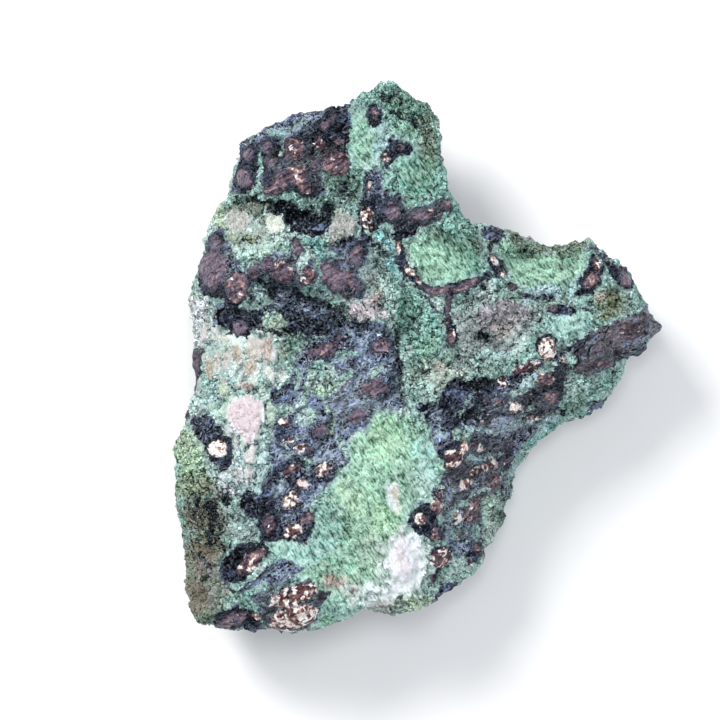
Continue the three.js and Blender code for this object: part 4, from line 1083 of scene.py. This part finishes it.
# the attributes and noises that the rock's colours share
def readRock(finish):
    names = ("ore", "core", "pit", "fold", "frost", "shine", "rust", "even", "calm", "streaks")
    rock = SimpleNamespace(**{name: finish.attribute(name) for name in names})
    rock.ground = finish.attribute("ground", "Color")
    rock.medium = finish.grain(1.5, 3, 0.65)
    rock.fine = finish.grain(3.6, 2, 0.6)
    rock.flecks = finish.grain(2.2, 4, 0.75)
    rock.curls = abs(finish.grain(1.8, 2, 0.6, finish.stirred(1.5, 0.7)) - 0.5)
    rock.bedding = finish.stretched(oreFinish["beddingTurn"], oreFinish["beddingStretch"])
    leaning = finish.stretched(oreFinish["strandTurn"], oreFinish["strandStretch"])
    rock.strands = finish.grain(3.1, 2, 0.6, leaning)
    rock.pores = finish.grain(1.9, 3, 0.7)
    rock.crumbs = finish.cells(2.6, finish.stirred(2.4, 0.6))
    rock.rough = 1 - rock.calm
    rock.uneven = (1 - rock.even) * rock.rough
    rock.crease = abs(rock.fold + (rock.fine - 0.5) * 0.10)
    stir = (rock.medium - 0.5) * 1.7 + (rock.fine - 0.5) * 0.8
    rock.oreDepth = rock.ore + stir
    rock.coreDepth = rock.core + stir * (rock.frost * 0.8 + 0.3)
    rock.inOre = rock.oreDepth.step(-0.05, 0.08)
    rock.inCore = rock.coreDepth.step(-0.08, 0.14)
    rock.nearCore = rock.coreDepth.step(-1.1, -0.3)
    rock.inPit = (rock.pit + stir * 1.3).step(-0.20, 0.12)
    return rock


# strands that lean one way, with pale crumbs and crests that are partly painted highlight, and dark
# gaps, pores and cracks between clumps that are painted shade
def bloomColour(finish, rock):
    speckle = finish.grain(5.5, 1, 0.5)
    dust = finish.grain(7.5, 1, 0.5)
    deep = finish.scaled(rock.ground, 0.74)
    deeper = finish.scaled(rock.ground, 0.22)
    halo = rock.oreDepth.step(-1.1, -0.1) * rock.medium.step(0.36, 0.56)
    return finish.layered(
        rock.ground,
        # pale crumb middles and strand crests: partly their own paleness, partly painted highlight
        (rock.crumbs.step(0.34, 0.05) * rock.uneven * 0.45, "crumb"),
        (rock.strands.step(0.52, 0.64) * (0.42 - rock.even * 0.06), "crumb"),
        # painted shade in the gaps between strands and in the pores
        (rock.strands.step(0.49, 0.38) * rock.rough, deep, "MULTIPLY"),
        ((rock.pores + rock.even * 0.09).step(0.48, 0.38) * rock.rough, deeper, "MULTIPLY"),
        (speckle.step(0.46, 0.34) * rock.uneven * 0.6, deep, "MULTIPLY"),
        (speckle.step(0.56, 0.70) * rock.uneven * 0.5, "crumb"),
        (dust.step(0.45, 0.33) * 0.5, deep, "MULTIPLY"),
        # cracks painted near black: painted shade
        (rock.crease.step(0.045, 0.01) * rock.uneven * 0.9, "pit"),
        (halo * 0.4, "halo"),
    )


# blue-black under curling pale hairlines, brown where it is silky, dusty in its creases, with painted
# shade in the black cracks between nodules
def oreColour(finish, rock):
    frost, rust, crease, flecks = rock.frost, rock.rust, rock.crease, rock.flecks
    streaks = rock.streaks + (rock.fine - 0.5) * 0.6
    flow = finish.grain(2.4, 3, 0.6, rock.bedding)
    silky = rust.step(1.0, 1.4)
    dusty = (finish.grain(0.5, 2, 0.5) + frost * 0.14 - crease * 0.4).step(0.42, 0.56) * frost
    threads = abs(flow - 0.5).step(0.030, 0.008) * rust * (1 - silky)
    gap = crease.step(0.13, 0.03) * (1 - rock.nearCore) * (1 - silky)
    hairline = crease.step(0.05, 0.08) * crease.step(0.15, 0.10) * (1 - rock.nearCore)
    ring = abs(rock.core + (rock.medium - 0.5) * 1.6 + 1.15).step(0.22, 0.08)
    ring = ring * (frost * 0.8 + 0.2) * rock.fine.step(0.36, 0.52)
    seam = hairline * (flecks + frost * 0.1).step(0.50, 0.60) + ring
    crust = (finish.grain(0.75, 4, 0.75) + gap * 0.05).step(0.57, 0.63) * frost
    return finish.layered(
        finish.mix(rock.medium.step(0.42, 0.66) + silky * 0.3, "dark ore", "ore"),
        (rust * rock.fine.step(0.30, 0.60) * 0.7, "rust"),
        (flow.step(0.50, 0.62) * (rust * 0.5 + 0.15 + silky * 0.2), "silk"),
        (streaks.step(0.12, 0.30) * 0.5, "pale ore"),
        (flecks.step(0.54, 0.64) * (dusty * 0.55 + 0.42) * (1 - silky * 0.6), "pale ore"),
        (rock.nearCore * 0.75, "dark ore"),
        (flecks.step(0.50, 0.43) * (1 - silky * 0.6), "dark ore"),
        (rock.curls.step(0.036, 0.014) * (dusty * 0.75 + 0.25) * (1 - silky * 0.5), "dust"),
        (threads * 0.45, "halo"),
        (seam * 0.9, "dust"),
        # black cracks between nodules: painted shade
        (gap * (1 - frost) * 0.95, "pit"),
        (crust * rock.fine.step(0.34, 0.54) * 0.85, "halo"),
    )


# copper red under a lilac tarnish, streaked, with painted copper highlights and painted white glints;
# and the share of painted white glint, from 0 to 1
def coreColour(finish, rock):
    flecks, shine = rock.flecks, rock.shine
    chip = finish.cells(1.7, finish.stirred(2.2, 0.6), "Color")
    striae = finish.grain(2.0, 3, 0.65, rock.bedding)
    rubbed = finish.grain(0.9, 3, 0.7)
    brightness = shine * shine
    bright = brightness.step(0.22, 0.5)
    lit = chip * 0.3 + rubbed * 0.5 + striae * 0.5 + brightness * 0.3
    block = chip * 0.6 + rubbed * 0.7 + brightness * 0.4
    glints = block.step(0.98, 1.01) * shine.step(0.06, 0.36)
    # fresh: the share of painted white glint, large on bright cores and sparse on the rest
    fresh = block.step(0.96, 0.99) * bright + glints * (1 - bright)
    tarnish = (striae - 0.5) * 3.0 + (rock.fine - 0.5) * 1.2 + 0.38
    metal = finish.layered(
        finish.mix(tarnish, "dull core", "core"),
        (brightness * 1.6, "red core"),
        (rock.coreDepth.step(0.55, 0.0) * 0.5, "core line"),
        (striae.step(0.46, 0.36) * 0.6, "core line"),
        (flecks.step(0.46, 0.37) * 0.7, "core line"),
        (flecks.step(0.56, 0.66) * (1 - brightness) * 0.6, "silk"),
        (rock.curls.step(0.036, 0.012) * (1 - brightness) * 0.5, "pale ore"),
        # painted copper highlights, then painted white glints set in a copper edge
        (lit.step(0.71, 0.88) * (shine * 0.9 + 0.2 - bright * 0.75), "copper"),
        (block.step(0.88, 0.96) * bright * 0.75, "copper"),
        (fresh, "glint white"),
    )
    return metal, fresh


# the pits' near black is painted shade over dark mineral, broken by pale flecks and dusty hairlines
def pitColour(finish, rock):
    hollow = finish.mix(rock.flecks.step(0.51, 0.60) * 0.9, "pit", "hollow")
    return finish.mix(rock.curls.step(0.024, 0.010) * (rock.frost * 0.6 + 0.1), hollow, "dust")


# how high the finest texture stands, for the bump
def fineHeight(rock):
    lumps = rock.crumbs.step(0.4, 0.0) * 0.3 - rock.pores.step(0.50, 0.36) * 0.6
    grit = rock.rough * rock.strands * 1.6 + lumps * rock.uneven
    wear = (rock.medium * 0.4 + rock.fine * 0.3) * (1 - rock.calm * 0.85) * (1 - rock.even * 0.5)
    hackles = rock.flecks + rock.curls.step(0.03, 0.0) * 0.3
    return wear + grit * (1 - rock.inOre) + hackles * rock.inOre


def rockFinish():
    finish = Finish("ore, bloom and matrix", oreColours)
    rock = readRock(finish)
    inOre, inCore, inPit = rock.inOre, rock.inCore, rock.inPit
    metal, fresh = coreColour(finish, rock)
    layers = (inOre, oreColour(finish, rock)), (inCore, metal), (inPit * 0.96, pitColour(finish, rock))
    bloomRoughness = oreFinish["bloomRoughness"]
    oreRoughness = oreFinish["oreRoughness"] - rock.medium * 0.35
    roughness = bloomRoughness + inOre * (oreRoughness - bloomRoughness)
    roughness = roughness + inCore * (oreFinish["coreRoughness"] - roughness)
    return finish.surface(
        Base_Color=finish.layered(bloomColour(finish, rock), *layers),
        Roughness=roughness + inPit * (oreFinish["pitRoughness"] - roughness),
        # pits are fully metallic on a near-black colour, so that they reflect nothing: painted shade;
        # the painted white glints are not metallic
        Metallic=inOre * (0.35 - inCore * 0.1) * (1 - inPit) * (1 - fresh) + inPit,
        Specular_IOR_Level=oreFinish["specular"],
        Normal=finish.bump(fineHeight(rock), 1.0, oreFinish["bumpHeight"]),
    )


def rideOnSlab(piece):
    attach(piece, "root")


rockMesh.materials.append(rockFinish())
slab = bpy.data.objects.new("nickeline_slab", rockMesh)
bpy.context.scene.collection.objects.link(slab)
rideOnSlab(slab)
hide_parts("nickeline_specimen")
print("slab finished")

# the triangles of the raised skin, which the grains are scattered on
rockMesh.calc_loop_triangles()
corners = np.zeros(len(rockMesh.loop_triangles) * 3, np.int32)
rockMesh.loop_triangles.foreach_get("vertices", corners)
corners = corners.reshape(-1, 3)
first, second, third = (moved[corners[:, corner]] for corner in range(3))
faceCross = np.cross(second - first, third - first)
faceArea = np.linalg.norm(faceCross, axis=1) / 2
faceNormal = faceCross / np.maximum(2 * faceArea, 1e-9)[:, None]

# Grains scattered on the skin. Sizes are in millimetres and lifts in shares of the size. A lean
# is how far a grain's axis strays from the skin's normal. Lightness multiplies the colour of a
# whole grain, and contrast is how far that colour varies within it.
grains = {
    "bloom_crumbs": {
        "seed": 11, "count": 7600, "shape": "crumb", "size": (0.18, 0.5),
        "flatness": (0.55, 1.0), "lean": 0.5, "lift": 0.05, "lightness": (0.7, 1.35),
        "finish": "bloom crumbs", "roughness": 0.92, "metallic": 0.0, "contrast": 0.35,
        "specular": 0.25,
    },
    "ore_shards": {
        "seed": 12, "count": 2600, "shape": "shard", "size": (0.2, 0.6),
        "flatness": (0.2, 0.6), "lean": 0.45, "lift": -0.06, "lightness": (0.5, 1.6),
        "finish": "ore shards", "roughness": 0.38, "metallic": 0.4, "contrast": 0.4,
        "specular": 0.25,
    },
    "nickeline_glints": {
        "seed": 13, "count": 420, "shape": "shard", "size": (0.15, 0.45),
        "flatness": (0.15, 0.4), "lean": 0.35, "lift": 0.0, "lightness": (0.6, 1.25),
        "finish": "fresh nickeline", "roughness": 0.24, "metallic": 0.6, "contrast": 0.2,
        "specular": 0.25,
    },
    "gangue_crystals": {
        "seed": 14, "count": 4200, "shape": "shard", "size": (0.2, 0.52),
        "flatness": (0.5, 1.0), "lean": 0.6, "lift": -0.05, "lightness": (0.75, 1.2),
        "finish": "pale crystals", "roughness": 0.45, "metallic": 0.0, "contrast": 0.25,
        "specular": 0.5,
    },
}
grainForm = {
    "sizeSkew": 1.6,  # above 1, small grains are more common than large ones
    "length": (0.8, 1.5),  # along the grain, in shares of its size
    "lowest": 0.02,  # no grain reaches below this height, in millimetres
}


def grainShape(kind):
    shape = bmesh.new()
    if kind == "crumb":
        bmesh.ops.create_icosphere(shape, subdivisions=1, radius=0.5)
    else:
        bmesh.ops.create_cube(shape, size=1)
        bmesh.ops.triangulate(shape, faces=shape.faces)
    shape.verts.index_update()
    points = np.array([vertex.co[:] for vertex in shape.verts])
    faces = np.array([[vertex.index for vertex in face.verts] for face in shape.faces])
    shape.free()
    return points, faces


def grainFinish(recipe):
    finish = Finish(recipe["finish"])
    tint = finish.attribute("ground", "Color")
    dark = finish.scaled(tint, 1 - recipe["contrast"])
    pale = finish.scaled(tint, 1 + recipe["contrast"])
    return finish.surface(
        Base_Color=finish.mix(finish.grain(7.0, 2, 0.6).step(0.3, 0.7), dark, pale),
        Roughness=recipe["roughness"], Metallic=recipe["metallic"],
        Specular_IOR_Level=recipe["specular"],
    )


# turns that carry z to each direction, with a free spin about it
def turnsTowards(directions, spins):
    helper = np.where(np.abs(directions[:, 2:]) < 0.9, (0.0, 0.0, 1.0), (1.0, 0.0, 0.0))
    side = np.cross(helper, directions)
    side /= np.linalg.norm(side, axis=1)[:, None]
    other = np.cross(directions, side)
    cosine, sine = np.cos(spins)[:, None], np.sin(spins)[:, None]
    axes = side * cosine + other * sine, other * cosine - side * sine, directions
    return np.stack(axes, axis=2)


def scatterGrains(name, likelihood, colours):
    recipe = grains[name]
    draw = np.random.default_rng(recipe["seed"])
    count = recipe["count"]
    chance = faceArea * likelihood[corners].mean(axis=1)
    chosen = draw.choice(len(corners), count, p=chance / chance.sum())
    weights = draw.dirichlet((1, 1, 1), count)
    seats = (moved[corners[chosen]] * weights[:, :, None]).sum(axis=1)
    tints = (colours[corners[chosen]] * weights[:, :, None]).sum(axis=1)
    tints *= draw.uniform(*recipe["lightness"], (count, 1))
    points, faces = grainShape(recipe["shape"])
    smallest, largest = recipe["size"]
    size = draw.uniform(0, 1, count) ** grainForm["sizeSkew"]
    size = smallest + (largest - smallest) * size
    stretch = draw.uniform(*recipe["flatness"], (count, 3))
    stretch[:, 0] = draw.uniform(*grainForm["length"], count)
    lean = faceNormal[chosen] + draw.normal(0, recipe["lean"], (count, 3))
    lean /= np.linalg.norm(lean, axis=1)[:, None]
    turns = turnsTowards(lean, draw.uniform(0, 2 * math.pi, count))
    local = points[None] * stretch[:, None] * size[:, None, None]
    local = np.einsum("nij,nkj->nki", turns, local)
    seats = seats + faceNormal[chosen] * (size * recipe["lift"])[:, None]
    vertices = (local + seats[:, None]).reshape(-1, 3)
    vertices[:, 2] = np.maximum(vertices[:, 2], grainForm["lowest"])
    triangles = (faces[None] + np.arange(count)[:, None, None] * len(points)).reshape(-1, 3)
    mesh = bpy.data.meshes.new(name)
    mesh.from_pydata((vertices * millimetre).tolist(), [], triangles.tolist())
    writeAttribute(mesh, "ground", np.repeat(tints, len(points), axis=0))
    mesh.materials.append(grainFinish(recipe))
    piece = bpy.data.objects.new(name, mesh)
    bpy.context.scene.collection.objects.link(piece)
    rideOnSlab(piece)
    print(name, "of", len(triangles), "triangles")


# Bloom that is strewn with pale crystals.
crystalRegions = [
    leftCrystal, oval(-19.9, 19, 3, 3.3, 10), rightCrystal,
    oval(-23, 16, 8, 5), field((-9.8, 7.9), (-7, 9), (-4.4, 7), (-4.8, 5.6), (-8, 4.9)),
    oval(-25, -1, 9, 6), oval(-24.3, -8.4, 4.4, 7), oval(11, 3.6, 11, 9), oval(-29.6, -32, 6, 12),
    oval(2.6, -2.8, 6, 4), oval(-24.8, -23.8, 4, 3),
]
outOfPits = 1 - eased(pit, -0.6, 0.0)
onFace = 0.2 + 0.8 * eased(normal[:, 2], -0.1, 0.4)
onCore = eased(core, -0.1, 0.3) * outOfPits
onOre = eased(ore, 0.0, 0.5) * (1 - onCore)
onBloom = eased(ore, 0.1, -0.6) * outOfPits
onCrystal = cover(crystalRegions, "crystal") * seen + 0.5 * matrix
aboveBase = eased(place[:, 2], 0.4, 1.5)
crumbChance = onBloom * (1 - 0.7 * onCrystal) * (1 - 0.5 * even) * (1 - calm) * onFace * aboveBase
crystalChance = onBloom * onCrystal * (1 - 0.8 * calm) * onFace * aboveBase
oreTint = blend(evenly(oreColours["dark ore"]), oreColours["rust"], rust * 0.5)
oreTint = blend(oreTint, oreColours["pale ore"], frost * 0.5)
# the glint grains are tinted towards near white with a core's shine: partly the metal's pale colour,
# partly painted highlight
coreTint = blend(evenly(oreColours["core"]), paint(250, 226, 214), shine * 0.9)
scatterGrains("bloom_crumbs", crumbChance, ground)
scatterGrains("ore_shards", onOre * onFace * aboveBase, oreTint)
scatterGrains("nickeline_glints", onCore * (0.04 + shine ** 2) * onFace, coreTint)
scatterGrains("gangue_crystals", crystalChance, ground)
